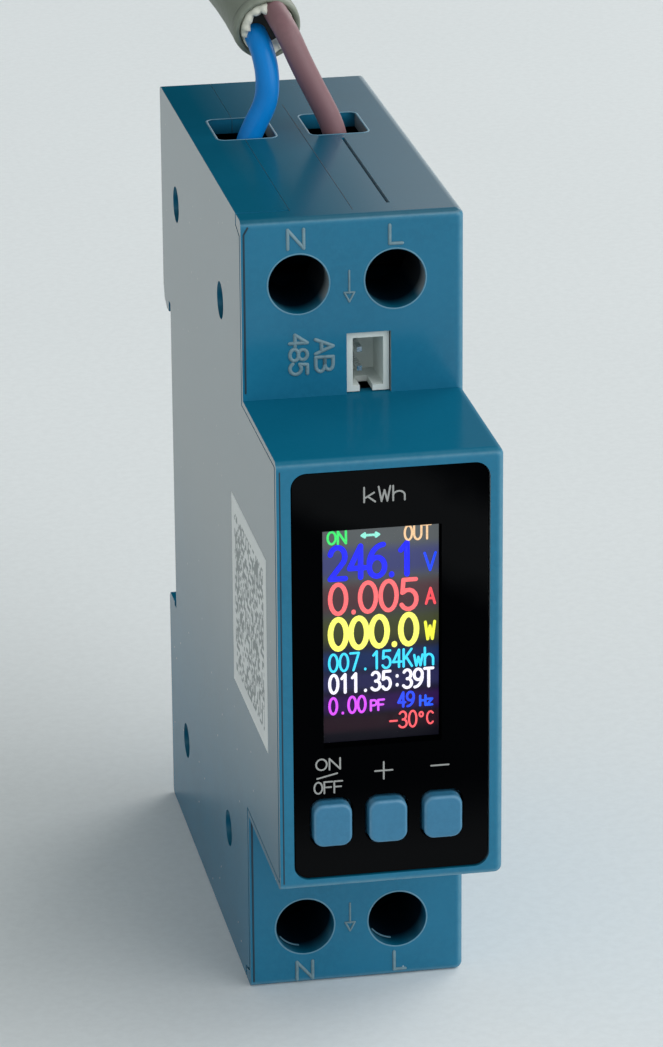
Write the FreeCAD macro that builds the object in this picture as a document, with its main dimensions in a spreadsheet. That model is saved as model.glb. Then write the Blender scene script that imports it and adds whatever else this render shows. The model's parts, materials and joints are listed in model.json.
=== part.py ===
"""Single-phase energy meter for a 35 mm DIN rail, with its supply cable.

Frame: X across the meter (+X to the right, seen from the front), +Y to the back, +Z up.
The origin lies on the floor, under the middle of the meter's box. Depths are measured
forward from the plane on which the rail seats, so a depth grows towards the front.
All sizes are in millimetres.
"""

import FreeCAD, Part

import math
import os

import Sketcher

doc = FreeCAD.newDocument("EnergyMeter")
sheet = doc.addObject("Spreadsheet::Sheet", "Sizes")
pieces = []
Vector = FreeCAD.Vector
SNUG = 1e-6


# The sheet of sizes, and arithmetic on its cells
class Size:
    """A length that holds its number and the formula on the sheet that gives it."""

    def __init__(self, text, value):
        self.text = text
        self.value = value

    @staticmethod
    def of(thing):
        return thing if isinstance(thing, Size) else Size(f"{thing:.9g}", float(thing))

    def _joined(self, sign, other, value):
        return Size(f"({self.text} {sign} {other.text})", value)

    def __add__(self, other):
        other = Size.of(other)
        return self._joined("+", other, self.value + other.value)

    def __radd__(self, other):
        return Size.of(other) + self

    def __sub__(self, other):
        other = Size.of(other)
        return self._joined("-", other, self.value - other.value)

    def __rsub__(self, other):
        return Size.of(other) - self

    def __mul__(self, other):
        other = Size.of(other)
        return self._joined("*", other, self.value * other.value)

    def __rmul__(self, other):
        return Size.of(other) * self

    def __truediv__(self, other):
        other = Size.of(other)
        return self._joined("/", other, self.value / other.value)

    def __neg__(self):
        return Size(f"(0 - {self.text})", -self.value)


rows_used = 0


def size(name, number, note):
    """Writes one driving size on the sheet and gives it back as a Size."""
    global rows_used
    rows_used += 1
    sheet.set(f"A{rows_used}", name)
    sheet.set(f"B{rows_used}", str(number))
    sheet.set(f"C{rows_used}", note)
    sheet.setAlias(f"B{rows_used}", name)
    return Size(f"Sizes.{name}", float(number))


def heading(words):
    """Leaves a line on the sheet with the name of a group of sizes."""
    global rows_used
    rows_used += 1
    sheet.set(f"A{rows_used}", words)


heading("Case")
case_wide = size("case_wide", 22.5, "width over both sides")
upper_shoulder = size("upper_shoulder", 18.6, "height of the upper shoulder")
shoulder_deep = size("shoulder_deep", 48, "rail seat to the front of the shoulders")
front_deep = size("front_deep", 67, "rail seat to the raised front")
hook_deep = size("hook_deep", 4.8, "rail seat back to the rear of the hooks")
block_low = size("block_low", 19.4, "underside of the raised block")
block_tall = size("block_tall", 45, "height of the raised block")
wall = size("wall", 1.6, "outer wall of the case")
edge_round = size("edge_round", 0.8, "rounding of the outer edges")
key_proud = size("key_proud", 0.8, "key tops in front of the raised front")

heading("Cover and seam")
plate_thick = size("plate_thick", 1.4, "side plate of the cover")
seam_reach = size("seam_reach", 5.4, "how far the cover's rim reaches across the case")
seam_strip = size("seam_strip", 0.6, "edge of the front wall seen beside the seam")
seam_gap = size("seam_gap", 0.36, "open seam down the front")
seam_thin = size("seam_thin", 0.14, "open seam above and below the raised block")
seam_fit = size("seam_fit", 0.05, "clearance of the closed seams")
jog_deep = size("jog_deep", 2.15, "step back of the cover at its front corners")
jog_tall = size("jog_tall", 1.2, "height of that step")

heading("Rail")
rail_rise = size("rail_rise", 0.2, "middle of the rail above the middle of the raised block")
rail_tall = size("rail_tall", 35, "width of the rail")
rail_play = size("rail_play", 0.1, "clearance over the rail")
rail_slot = size("rail_slot", 1.2, "room for the rail's flange behind the seat")
hook_over = size("hook_over", 1.15, "overlap of the upper hook on the rail")
hook_curve = size("hook_curve", 2.2, "curve of the hook's rear edge")
sill_curve = size("sill_curve", 0.6, "bevel of the sill's rear edge")
sill_under = size("sill_under", 0.1, "lower sill below the rail's edge")

heading("Rail latch")
latch_wide = size("latch_wide", 8, "width of the latch")
latch_ear = size("latch_ear", 0.8, "guide flange on each side")
latch_thick = size("latch_thick", 3.2, "thickness of the latch")
latch_guide = size("latch_guide", 1.6, "thickness of its guide flanges")
latch_over = size("latch_over", 1.0, "overlap of the latch on the rail")
latch_low = size("latch_low", 0.6, "lower end of the latch above the floor")
latch_play = size("latch_play", 0.15, "clearance of the latch in its channel")
latch_slack = size("latch_slack", 0.3, "gap between the latch and the seat of its spring")
spring_wire = size("spring_wire", 0.5, "wire of the latch spring")
spring_wide = size("spring_wide", 2.6, "mean diameter of its turns")
spring_turns = size("spring_turns", 6, "turns of the spring")
spring_low = size("spring_low", 9.8, "lower end of the spring")
spring_high = size("spring_high", 20, "upper end of the spring")

heading("Terminals")
neutral_inset = size("neutral_inset", 5.75, "middle of the neutral terminals inside the case's left side")
live_side = size("live_side", 4.25, "middle of the live terminals")
upper_drop = size("upper_drop", 6.8, "axis of the upper screws below the top")
lower_level = size("lower_level", 6.5, "axis of the lower screws")
access_wide = size("access_wide", 6.1, "holes for the screwdriver")
access_tube = size("access_tube", 0.8, "wall of the tube behind them")
access_deep = size("access_deep", 38.4, "inner end of the tubes, from the seat")
slot_wide = size("slot_wide", 6.2, "wire slots, across")
slot_near = size("slot_near", 10.3, "wire slots, rear edge from the seat")
slot_far = size("slot_far", 18.5, "wire slots, front edge from the seat")
cage_wide = size("cage_wide", 7.2, "clamp cage, across")
cage_tall = size("cage_tall", 7, "clamp cage, along the wire")
cage_long = size("cage_long", 10.5, "clamp cage, along the screw")
cage_wall = size("cage_wall", 0.9, "side walls of the cage")
cage_jaw = size("cage_jaw", 1.2, "rear wall of the cage, which grips the wire")
cage_nut = size("cage_nut", 1.6, "front wall of the cage, which is threaded")
clamp_gap = size("clamp_gap", 1.6, "gap for the wire with the clamp shut")
clamp_travel = size("clamp_travel", 4.5, "travel of a cage from shut to open")
bar_thick = size("bar_thick", 1.5, "thickness of the copper bars")
bar_wide = size("bar_wide", 5, "width of the copper bars")
bar_deep = size("bar_deep", 17.6, "rear face of the bars in the clamps, from the seat")
screw_wide = size("screw_wide", 4, "terminal screw thread")
screw_head = size("screw_head", 5.7, "terminal screw head")
screw_head_long = size("screw_head_long", 2.2, "length of that head")
screw_play = size("screw_play", 0.06, "clearance round the terminal screws")
collar_deep = size("collar_deep", 25.6, "collar that holds the screw heads, from the seat")
collar_long = size("collar_long", 2.8, "length of that collar")
divider_thick = size("divider_thick", 1.4, "wall between the two terminals")

heading("Case screws")
screw_rear_drop = size("screw_rear_drop", 10.5, "rear upper case screw, below the top")
screw_rear_up_deep = size("screw_rear_up_deep", 5.5, "rear upper case screw, from the seat")
screw_front_drop = size("screw_front_drop", 12.2, "front upper case screw, below the top")
screw_front_up_deep = size("screw_front_up_deep", 34.6, "front upper case screw, from the seat")
screw_rear_down = size("screw_rear_down", 10.65, "rear lower case screw, height")
screw_rear_down_deep = size("screw_rear_down_deep", 6, "rear lower case screw, from the seat")
screw_front_down = size("screw_front_down", 12.45, "front lower case screw, height")
screw_front_down_deep = size("screw_front_down_deep", 34.8, "front lower case screw, from the seat")
screw_hole = size("screw_hole", 3.9, "holes in the cover for the case screws")
post_wide = size("post_wide", 5.4, "screw posts")
post_split = size("post_split", 7.75, "left face to the joint between the posts")
post_floor = size("post_floor", 1.5, "floor of the cover's posts under the heads")
case_screw_wide = size("case_screw_wide", 2.2, "case screw thread")
case_screw_head = size("case_screw_head", 3.5, "case screw head")
case_screw_head_long = size("case_screw_head_long", 1.5, "length of that head")
case_screw_long = size("case_screw_long", 9, "case screw under its head")

heading("Front window and keys")
window_beside = size("window_beside", 1.55, "case beside the window, on each side")
window_margin = size("window_margin", 1.2, "window inside the lower edge of the raised block")
window_margin_top = size("window_margin_top", 1.4, "window inside its upper edge")
window_thick = size("window_thick", 1.5, "thickness of the window")
window_round = size("window_round", 1.4, "corners of the window")
window_sunk = size("window_sunk", 0.2, "face of the window behind the raised front")
window_play = size("window_play", 0.15, "clearance round the window")
mask_thick = size("mask_thick", 0.1, "black film behind the window")
ledge = size("ledge", 1.4, "ledge that carries the window, above and below")
ledge_side = size("ledge_side", 0.75, "ledge that carries the window, at its sides")
ledge_thick = size("ledge_thick", 1.4, "thickness of that ledge")
key_middle = size("key_middle", -0.5, "middle of the centre key")
key_pitch = size("key_pitch", 5.55, "keys from middle to middle")
key_rise = size("key_rise", 5.85, "middle of the keys above the window's lower edge")
key_wide = size("key_wide", 4, "width of a key")
key_tall = size("key_tall", 4.7, "height of a key")
key_round = size("key_round", 1.1, "corners of a key")
key_crown = size("key_crown", 0.35, "rounding of a key's top edge")
key_play = size("key_play", 0.2, "gap round a key")
key_flange = size("key_flange", 0.6, "flange of a key behind the window")
key_flange_thick = size("key_flange_thick", 1, "thickness of that flange")
key_rest = size("key_rest", 0.2, "gap between that flange and the film")
key_stem = size("key_stem", 2.4, "diameter of the stem behind a key")
key_touch = size("key_touch", 0.05, "gap between a stem and its plunger")
key_travel = size("key_travel", 0.3, "travel of a key")

heading("Display")
view_middle = size("view_middle", -0.55, "middle of the picture area")
view_drop = size("view_drop", 17.6, "middle of the picture area below the window's upper edge")
view_wide = size("view_wide", 10.8, "picture area")
view_tall = size("view_tall", 21.7, "height of the picture area")
mask_margin = size("mask_margin", 0.5, "opening of the film past the picture area")
lcd_wide = size("lcd_wide", 13.5, "display glass")
lcd_tall = size("lcd_tall", 27.9, "height of the display glass")
lcd_chin = size("lcd_chin", 3.2, "display glass below the picture area")
lcd_thick = size("lcd_thick", 1.4, "thickness of the display glass")
lcd_gap = size("lcd_gap", 0.3, "gap between the film and the display glass")
backlight_thick = size("backlight_thick", 1.9, "thickness of the backlight")
ribbon_wide = size("ribbon_wide", 8, "width of the display ribbon")
ribbon_thick = size("ribbon_thick", 0.2, "thickness of that ribbon")
front_board_deep = size("front_board_deep", 60, "front of the display board, from the seat")
front_board_thick = size("front_board_thick", 1.2, "thickness of the display board")
front_board_beside = size("front_board_beside", 2.25, "side of the case to the edge of the display board")
front_board_inset = size("front_board_inset", 1.4, "display board inside the ends of the window")
switch_wide = size("switch_wide", 3.6, "body of a key switch")
switch_thick = size("switch_thick", 1.9, "height of that body")
plunger_wide = size("plunger_wide", 1.8, "plunger of a key switch")
plunger_proud = size("plunger_proud", 1, "plunger past its switch")
plunger_play = size("plunger_play", 0.06, "clearance round a plunger")

heading("Main board and relay")
board_inset = size("board_inset", 4.25, "left face of the main board inside the case's right side")
board_thick = size("board_thick", 1.2, "thickness of the main board")
board_low = size("board_low", 16, "lower edge of the main board")
board_rise = size("board_rise", 3.2, "upper edge of the main board above the raised block")
board_near = size("board_near", 3, "rear edge of the main board, from the seat")
board_far = size("board_far", 45.6, "front edge of the main board, from the seat")
board_tongue = size("board_tongue", 56.5, "front edge of its tongue, from the seat")
tab_rise = size("tab_rise", 7.2, "its tab for the data connector above the raised block")
choke_tall = size("choke_tall", 7, "height of the choke on the main board")
relay_near = size("relay_near", 8, "rear of the relay, from the seat")
relay_long = size("relay_long", 30, "relay, front to back")
relay_low = size("relay_low", 22.5, "lower end of the relay")
relay_tall = size("relay_tall", 38, "height of the relay")
relay_thick = size("relay_thick", 14, "relay, across")
relay_skin = size("relay_skin", 0.8, "wall of the relay's cover")
relay_floor = size("relay_floor", 1.2, "thickness of the relay's base")
relay_notch = size("relay_notch", 7.2, "upper notch of that base")
bar_entry = size("bar_entry", 3, "how far a bar reaches into the relay")
rocker_gap = size("rocker_gap", 0.5, "armature above the relay's core with the relay open")
contact_wide = size("contact_wide", 3, "relay contacts")
contact_thick = size("contact_thick", 1, "thickness of a relay contact")
contact_gap = size("contact_gap", 0.46, "gap between the open contacts")

heading("Data connector")
port_middle = size("port_middle", 1.54, "middle of the data port")
port_wide = size("port_wide", 4.5, "width of the data port")
port_tall = size("port_tall", 6.4, "height of the data port")
port_play = size("port_play", 0.1, "clearance round the connector")
port_sunk = size("port_sunk", 0.5, "connector behind the shoulder's front")
port_long = size("port_long", 7, "length of the connector")
port_skin = size("port_skin", 0.6, "wall of the connector")
pin_pitch = size("pin_pitch", 2, "data pins from middle to middle")
pin_wide = size("pin_wide", 0.5, "thickness of a data pin")

heading("Label")
label_wide = size("label_wide", 20.5, "label on the cover")
label_near = size("label_near", 40, "rear edge of the label, from the seat")
label_low = size("label_low", 31.6, "lower edge of the label")
label_thick = size("label_thick", 0.12, "thickness of the label")
label_sunk = size("label_sunk", 0.1, "pocket of the cover for the label")

heading("Supply cable")
core_wide = size("core_wide", 2.5, "insulated core")
core_drop = size("core_drop", 2.8, "start of a core's insulation below the top")
lead_start = size("lead_start", 13.1, "end of the sheath above that")
core_grip = size("core_grip", 6.7, "bare end of a core below that")
wire_wide = size("wire_wide", 1.5, "bare end of a core")
cable_wide = size("cable_wide", 7.3, "sheathed cable")
coil_middle_wide = size("coil_middle_wide", 75, "coil at the middle of its turns")
coil_step = size("coil_step", 8, "one turn to the next, across and up")
coil_rounds = size("coil_rounds", 4, "times that the coil passes its right side, at most")
coil_end_wide = size("coil_end_wide", 78, "where the end of the coil lies on its turns")
coil_end_turns = size("coil_end_turns", 0.55, "turns over which that end rises")

heading("Plug")
plug_wide = size("plug_wide", 35.3, "plug, across its pins")
plug_thick = size("plug_thick", 13.7, "thickness of the plug")
plug_front = size("plug_front", 14, "full width of the plug behind its face")
plug_taper = size("plug_taper", 10, "part of the plug that narrows to the cable")
plug_neck = size("plug_neck", 11, "strain relief of the plug")
plug_neck_long = size("plug_neck_long", 12, "length of that strain relief")
plug_pin_wide = size("plug_pin_wide", 4, "pins of the plug")
plug_pin_long = size("plug_pin_long", 19, "pins past the plug's face")
plug_pin_pitch = size("plug_pin_pitch", 18.6, "pins from middle to middle")
plug_lift = size("plug_lift", 0.3, "plug above the turns that it lies on")

# Places worked out from the sizes
half_wide = case_wide / 2
block_high = block_low + block_tall
case_tall = block_high + upper_shoulder
rail_middle = block_low + block_tall / 2 + rail_rise
upper_level = case_tall - upper_drop
screw_rear_up = case_tall - screw_rear_drop
screw_front_up = case_tall - screw_front_drop
core_level = case_tall - core_drop
window_low = block_low + window_margin
window_tall = block_high - window_margin_top - window_low
key_level = window_low + key_rise
view_level = window_low + window_tall - view_drop
front_board_low = window_low + front_board_inset
front_board_tall = window_tall - front_board_inset * 2
board_high = block_high + board_rise
board_tab = block_high + tab_rise
seat = (front_deep + key_proud - hook_deep) / 2
rail_top = rail_middle + rail_tall / 2
rail_base = rail_middle - rail_tall / 2
left_face = -half_wide
neutral_side = left_face + neutral_inset
window_wide = case_wide - window_beside * 2
front_board_wide = case_wide - front_board_beside * 2
board_side = half_wide - board_inset
rim_side = left_face + seam_reach
plate_side = left_face + plate_thick
right_inside = half_wide - wall
roof = case_tall - wall
cover_front = shoulder_deep - seam_strip - seam_gap
cover_block_front = front_deep - seam_strip - seam_gap
window_back = front_deep - window_sunk - window_thick
mask_back = window_back - mask_thick
lcd_front = mask_back - lcd_gap
lcd_back = lcd_front - lcd_thick
backlight_back = lcd_back - backlight_thick
front_board_back = front_board_deep - front_board_thick
view_low = view_level - view_tall / 2
lcd_low = view_low - lcd_chin
relay_side = board_side - relay_thick
TERMINAL_SIDES = {"neutral": neutral_side, "live": live_side}
KEYS = {"on_off": -1, "plus": 0, "minus": 1}


def y(depth):
    """The Y coordinate of a depth from the rail seat."""
    return seat - depth


def deep(near, far):
    """The Y span between two depths, lowest Y first."""
    return y(far), y(near)


def around(middle, width):
    """The span of a width about its middle."""
    middle = Size.of(middle)
    return middle - width / 2, middle + width / 2


# Features
TURNS = {
    "x": FreeCAD.Rotation(Vector(0, 0, 1), Vector(1, 0, 0)),
    "y": FreeCAD.Rotation(Vector(0, 0, 1), Vector(0, 1, 0)),
    "z": FreeCAD.Rotation(),
}
PLANES = {"x": "YZ_Plane", "y": "XZ_Plane", "z": "XY_Plane"}


class Piece:
    """One body of the document, built up feature by feature."""

    def __init__(self, name):
        self.body = doc.addObject("PartDesign::Body", name)
        self.body.Label = name
        self.body.AllowCompound = True
        pieces.append(self.body)

    def _solid(self, kind, sizes, place, turn):
        feature = self.body.newObject("PartDesign::" + kind, kind)
        feature.Placement = FreeCAD.Placement(Vector(), turn)
        for name, length in sizes.items():
            feature.setExpression(name, Size.of(length).text)
        for axis, where in zip("xyz", place):
            feature.setExpression("Placement.Base." + axis, Size.of(where).text)
        return feature

    def block(self, x, y, z, cut=False):
        """A box between two corners, added or cut away."""
        kind = "SubtractiveBox" if cut else "AdditiveBox"
        spans = [Size.of(high) - low for low, high in (x, y, z)]
        sizes = dict(zip(("Length", "Width", "Height"), spans))
        self._solid(kind, sizes, (x[0], y[0], z[0]), TURNS["z"])
        return self

    def rod(self, axis, place, width, span, cut=False):
        """A cylinder along an axis: place is its middle on the other two axes."""
        kind = "SubtractiveCylinder" if cut else "AdditiveCylinder"
        base = list(place)
        base.insert("xyz".index(axis), span[0])
        sizes = {"Radius": width / 2, "Height": Size.of(span[1]) - span[0]}
        self._solid(kind, sizes, base, TURNS[axis])
        return self

    def plate(self, axis, outline, span, cut=False):
        """A flat shape with the given corners, padded or pocketed along an axis."""
        low, high = Size.of(span[0]), Size.of(span[1])
        sketch = self.body.newObject("Sketcher::SketchObject", "Outline")
        role = PLANES[axis]
        plane = next(f for f in self.body.Origin.OriginFeatures if f.Role == role)
        sketch.AttachmentSupport = [(plane, "")]
        sketch.MapMode = "FlatFace"
        backwards = axis == "y"
        start = -high if backwards else low
        sketch.setExpression("AttachmentOffset.Base.z", start.text)
        corners = [(Size.of(a), Size.of(b)) for a, b in outline]
        count = len(corners)
        for i, (a, b) in enumerate(corners):
            c, d = corners[(i + 1) % count]
            line = Part.LineSegment(Vector(a.value, b.value, 0), Vector(c.value, d.value, 0))
            sketch.addGeometry(line, False)
        for i in range(count):
            sketch.addConstraint(Sketcher.Constraint("Coincident", i, 2, (i + 1) % count, 1))
        for i, corner in enumerate(corners):
            for kind, where in zip(("DistanceX", "DistanceY"), corner):
                rule = Sketcher.Constraint(kind, -1, 1, i, 1, where.value)
                number = sketch.addConstraint(rule)
                sketch.setExpression(f"Constraints[{number}]", where.text)
        feature = self.body.newObject("PartDesign::Pocket" if cut else "PartDesign::Pad", "Flat")
        feature.Profile = sketch
        feature.setExpression("Length", (high - low).text)
        feature.Reversed = cut
        self.body.Tip = feature
        return self

    def rounded(self, radius, wanted, kind="Fillet"):
        """Rounds or chamfers the edges of the last feature that wanted picks."""
        doc.recompute()
        base = self.body.Tip
        names = [f"Edge{i + 1}" for i, e in enumerate(base.Shape.Edges) if wanted(e)]
        if not names:
            raise ValueError(f"{self.body.Label}: no edge to round")
        feature = self.body.newObject("PartDesign::" + kind, kind)
        feature.Base = (base, names)
        prop = "Radius" if kind == "Fillet" else "Size"
        feature.setExpression(prop, Size.of(radius).text)
        self.body.Tip = feature
        return self


def runs(edge, axis):
    """Whether an edge is straight and lies along an axis."""
    if len(edge.Vertexes) != 2:
        return False
    step = edge.Vertexes[1].Point - edge.Vertexes[0].Point
    return abs(edge.Length - abs(getattr(step, axis))) < SNUG


def middle_of(edge):
    return edge.valueAt((edge.FirstParameter + edge.LastParameter) / 2)


def at(edge, **places):
    """Whether the middle of an edge has the given coordinates."""
    point = middle_of(edge)
    return all(abs(getattr(point, k) - Size.of(v).value) < 1e-4 for k, v in places.items())


def outline_of(*corners):
    """Corners given as depth from the seat and height, as points of a sketch."""
    return [(y(Size.of(depth)), Size.of(height)) for depth, height in corners]


# The case: a main shell and a cover that closes its left side
OUTSIDE = outline_of(
    (shoulder_deep, case_tall),
    (shoulder_deep, block_high),
    (front_deep, block_high),
    (front_deep, block_low),
    (shoulder_deep, block_low),
    (shoulder_deep, 0),
    (-hook_deep, 0),
    (-hook_deep, rail_base - sill_under - sill_curve),
    (-hook_deep + sill_curve, rail_base - sill_under),
    (-rail_slot, rail_base - sill_under),
    (-rail_slot, rail_base - rail_play - 0.4),
    (0, rail_base - rail_play - 0.4),
    (0, rail_top + rail_play),
    (-rail_slot, rail_top + rail_play),
    (-rail_slot, rail_top - hook_over),
    (-rail_slot - hook_curve * 0.6, rail_top - hook_over),
    (-hook_deep + hook_curve * 0.3, rail_top - hook_over + hook_curve * 0.3),
    (-hook_deep, rail_top - hook_over + hook_curve),
    (-hook_deep, case_tall),
)
front_inside = front_deep - window_sunk - window_thick - mask_thick - ledge_thick
INSIDE = outline_of(
    (shoulder_deep - wall, roof),
    (shoulder_deep - wall, block_high - wall),
    (front_inside, block_high - wall),
    (front_inside, block_low + wall),
    (shoulder_deep - wall, block_low + wall),
    (shoulder_deep - wall, wall),
    (wall, wall),
    (wall, roof),
)


def seam_line(gap, thin):
    """The front edge of the cover from its top to its bottom, moved forward by the gaps."""
    jog = cover_front - jog_deep
    return [
        (jog + gap, case_tall),
        (jog + gap, case_tall - jog_tall + thin),
        (cover_front + gap, case_tall - jog_tall * 1.5 + thin),
        (cover_front + gap, block_high - seam_strip - seam_thin + thin),
        (cover_block_front + gap, block_high - seam_strip - seam_thin + thin),
        (cover_block_front + gap, block_low + seam_strip + seam_thin - thin),
        (cover_front + gap, block_low + seam_strip + seam_thin - thin),
        (cover_front + gap, jog_tall * 1.5 - thin),
        (jog + gap, jog_tall - thin),
        (jog + gap, 0),
    ]


def is_long_outer_edge(edge):
    """The convex edges that run across the case."""
    corners = [
        (shoulder_deep, case_tall),
        (front_deep, block_high),
        (front_deep, block_low),
        (shoulder_deep, 0),
        (-hook_deep, 0),
        (-hook_deep, case_tall),
    ]
    return runs(edge, "x") and any(at(edge, y=y(d), z=h) for d, h in corners)


def is_right_rim(edge):
    """The edges round the right side, in front of the rail groove."""
    point = middle_of(edge)
    return abs(point.x - half_wide.value) < SNUG and point.y < seat.value - 0.5


def case_solid(name, span, round_right=False):
    """A slice across the full outline of the case, with its outer edges rounded."""
    piece = Piece(name)
    piece.plate("x", OUTSIDE, span)
    piece.rounded(edge_round, lambda e: is_long_outer_edge(e) or round_right and is_right_rim(e))
    return piece


POSTS = [
    (screw_rear_up_deep, screw_rear_up),
    (screw_front_up_deep, screw_front_up),
    (screw_rear_down_deep, screw_rear_down),
    (screw_front_down_deep, screw_front_down),
]
post_joint = left_face + post_split
head_seat = post_joint - post_floor
front_room = front_deep + 1


def wire_slot(piece, side):
    """The wire slots of one terminal column, through the roof and the floor."""
    across = around(side, slot_wide)
    along = deep(slot_near, slot_far)
    for span in ((roof - 0.2, case_tall + 1), (-1, wall + 0.2)):
        piece.block(across, along, span, cut=True)


def make_main_shell():
    shell = case_solid("main_shell", (left_face, half_wide), round_right=True)
    shell.plate("x", INSIDE, (left_face, right_inside), cut=True)
    ahead = seam_line(seam_gap, seam_thin)
    cover_room = [(-hook_deep - 1, case_tall + 1), (ahead[0][0], case_tall + 1)]
    cover_room += ahead[1:-1]
    cover_room += [(ahead[-1][0], -1), (-hook_deep - 1, -1)]
    shell.plate("x", outline_of(*cover_room), (left_face - 1, plate_side + seam_fit), cut=True)
    for depth, height in POSTS:
        place = (y(depth), height)
        shell.rod("x", place, post_wide, (post_joint + seam_fit, right_inside + 0.2))
    collar = deep(collar_deep, collar_deep + collar_long)
    levels = {
        upper_level: (upper_level - access_wide / 2 - 1, roof + 0.2),
        lower_level: (wall - 0.2, lower_level + access_wide / 2 + 1),
    }
    inside = (plate_side + 0.25, right_inside + 0.2)
    divider = around((neutral_side + live_side) / 2, divider_thick)
    for level, span in levels.items():
        shell.block(inside, collar, span)
        shell.block(divider, deep(wall, collar_deep + 0.2), span)
        for side in TERMINAL_SIDES.values():
            place = (side, level)
            tube = access_wide + access_tube * 2
            shell.rod("y", place, tube, deep(access_deep, shoulder_deep - 0.4))
            shell.rod("y", place, access_wide, deep(access_deep - 1, shoulder_deep + 1), cut=True)
            head_bore = screw_head + screw_play * 2
            bore = deep(collar_deep - 1, collar_deep + collar_long + 1)
            shell.rod("y", place, head_bore, bore, cut=True)
    rim_end = rim_side + seam_fit
    jog = cover_front - jog_deep + seam_gap
    for level in ((roof - seam_fit, case_tall + 1), (-1, wall + seam_fit)):
        shell.block((left_face - 1, rim_end), deep(-hook_deep - 1, jog), level, cut=True)
    behind = deep(-hook_deep - 1, wall + seam_fit)
    shell.block((left_face - 1, rim_end), behind, (-1, case_tall + 1), cut=True)
    for side in TERMINAL_SIDES.values():
        wire_slot(shell, side)
    add_front_opening(shell)
    add_board_rails(shell)
    add_latch_channel(shell)
    add_roof_lines(shell)
    pilot = case_screw_wide + seam_fit
    for depth, height in POSTS:
        tip = (post_joint - 1, head_seat + case_screw_long + 1)
        shell.rod("x", (y(depth), height), pilot, tip, cut=True)
    return shell


def add_front_opening(shell):
    """The recess for the window, the opening behind it and the data port."""
    recess = deep(window_back - mask_thick, front_deep + 1)
    corner = window_round + window_play
    across = around(0, window_wide + window_play * 2)
    up = (window_low - window_play, window_low + window_tall + window_play)
    shell.block((across[0] + corner, across[1] - corner), recess, up, cut=True)
    shell.block(across, recess, (up[0] + corner, up[1] - corner), cut=True)
    for side in (across[0] + corner, across[1] - corner):
        for level in (up[0] + corner, up[1] - corner):
            shell.rod("y", (side, level), corner * 2, recess, cut=True)
    inner = around(0, window_wide - ledge_side * 2)
    inner_up = (window_low + ledge, window_low + window_tall - ledge)
    shell.block(inner, deep(front_inside - 0.2, front_deep), inner_up, cut=True)
    port = around(port_middle, port_wide)
    port_span = deep(shoulder_deep - wall - 0.2, shoulder_deep + 1)
    shell.block(port, port_span, (block_high - 0.001, block_high + port_tall), cut=True)


def add_board_rails(shell):
    """Ribs on the right wall that the two circuit boards stand against."""
    beside = (board_side + board_thick + 0.15, right_inside + 0.2)
    for level in (20, 40, 58):
        shell.block(beside, deep(board_near + 2, board_far - 2), (level, level + 1.2))
    behind = deep(front_board_back - 1.6, front_board_back - 0.1)
    for level in (24, 52):
        rail = (front_board_wide / 2 - 0.6, right_inside + 0.2)
        shell.block(rail, behind, (level, level + 6))


def add_latch_channel(shell):
    """The channel of the rail latch behind the case, and the seat of its spring."""
    slack = latch_play
    body = around(0, latch_wide + slack * 2)
    ears = around(0, latch_wide + (latch_ear + slack) * 2)
    front = -rail_slot - 0.05
    latch_front = -rail_slot - slack - 0.05
    levels = (-1, rail_base + 5)
    shell.block(body, deep(-hook_deep - 1, front), levels, cut=True)
    flange = deep(latch_front - latch_guide - slack, front)
    shell.block(ears, flange, (-1, rail_base - 2.5), cut=True)
    seat_span = (spring_low - 1.5, spring_low)
    boss = deep(latch_front - latch_thick + 0.3, front + 0.2)
    shell.block(around(0, spring_wide + 0.4), boss, seat_span)


def add_roof_lines(shell):
    """The fine open slit in the roof, in front of the live wire slot."""
    slit = around(live_side, 0.35)
    shell.block(slit, deep(slot_far + 1.5, shoulder_deep - 3.6), (case_tall - 0.8, case_tall + 1), cut=True)


def make_left_cover():
    cover = case_solid("left_cover", (left_face, rim_side))
    cover.plate("x", front_waste(), (left_face - 1, rim_side + 1), cut=True)
    inside = [(wall, wall), (shoulder_deep, wall), (shoulder_deep, roof), (wall, roof)]
    cover.plate("x", outline_of(*inside), (plate_side, rim_side + 1), cut=True)
    ahead = deep(cover_front - jog_deep, front_deep + 1)
    cover.block((plate_side, rim_side + 1), ahead, (-1, case_tall + 1), cut=True)
    lift = deep(label_near, label_near + label_wide)
    pocket = (left_face - 1, left_face + label_sunk)
    cover.block(pocket, lift, (label_low, label_low + label_wide), cut=True)
    for depth, height in POSTS:
        place = (y(depth), height)
        cover.rod("x", place, post_wide, (plate_side - 0.2, post_joint))
    wire_slot(cover, neutral_side)
    for depth, height in POSTS:
        place = (y(depth), height)
        cover.rod("x", place, screw_hole, (left_face - 1, head_seat), cut=True)
        cover.rod("x", place, case_screw_wide + 0.4, (head_seat - 1, post_joint + 1), cut=True)
    return cover


def front_waste():
    """The corners of the region in front of the cover's front edge."""
    line = seam_line(Size.of(0), Size.of(0))
    ahead = front_room + 5
    first = (line[0][0], case_tall + 1)
    last = (line[-1][0], Size.of(-1))
    return outline_of((ahead, case_tall + 1), first, *line[1:-1], last, (ahead, Size.of(-1)))


# The front: window, black film, keys and their switches
def key_middle_of(place):
    """The X coordinate of a key's middle, counted in keys from the centre one."""
    return key_middle + key_pitch * place


def is_corner_of(middle, width, level, height):
    """A test for the four edges along Y at the corners of a rectangle."""
    across = around(middle, width)
    up = around(level, height)

    def wanted(edge):
        return runs(edge, "y") and any(at(edge, x=a, z=b) for a in across for b in up)

    return wanted


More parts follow.
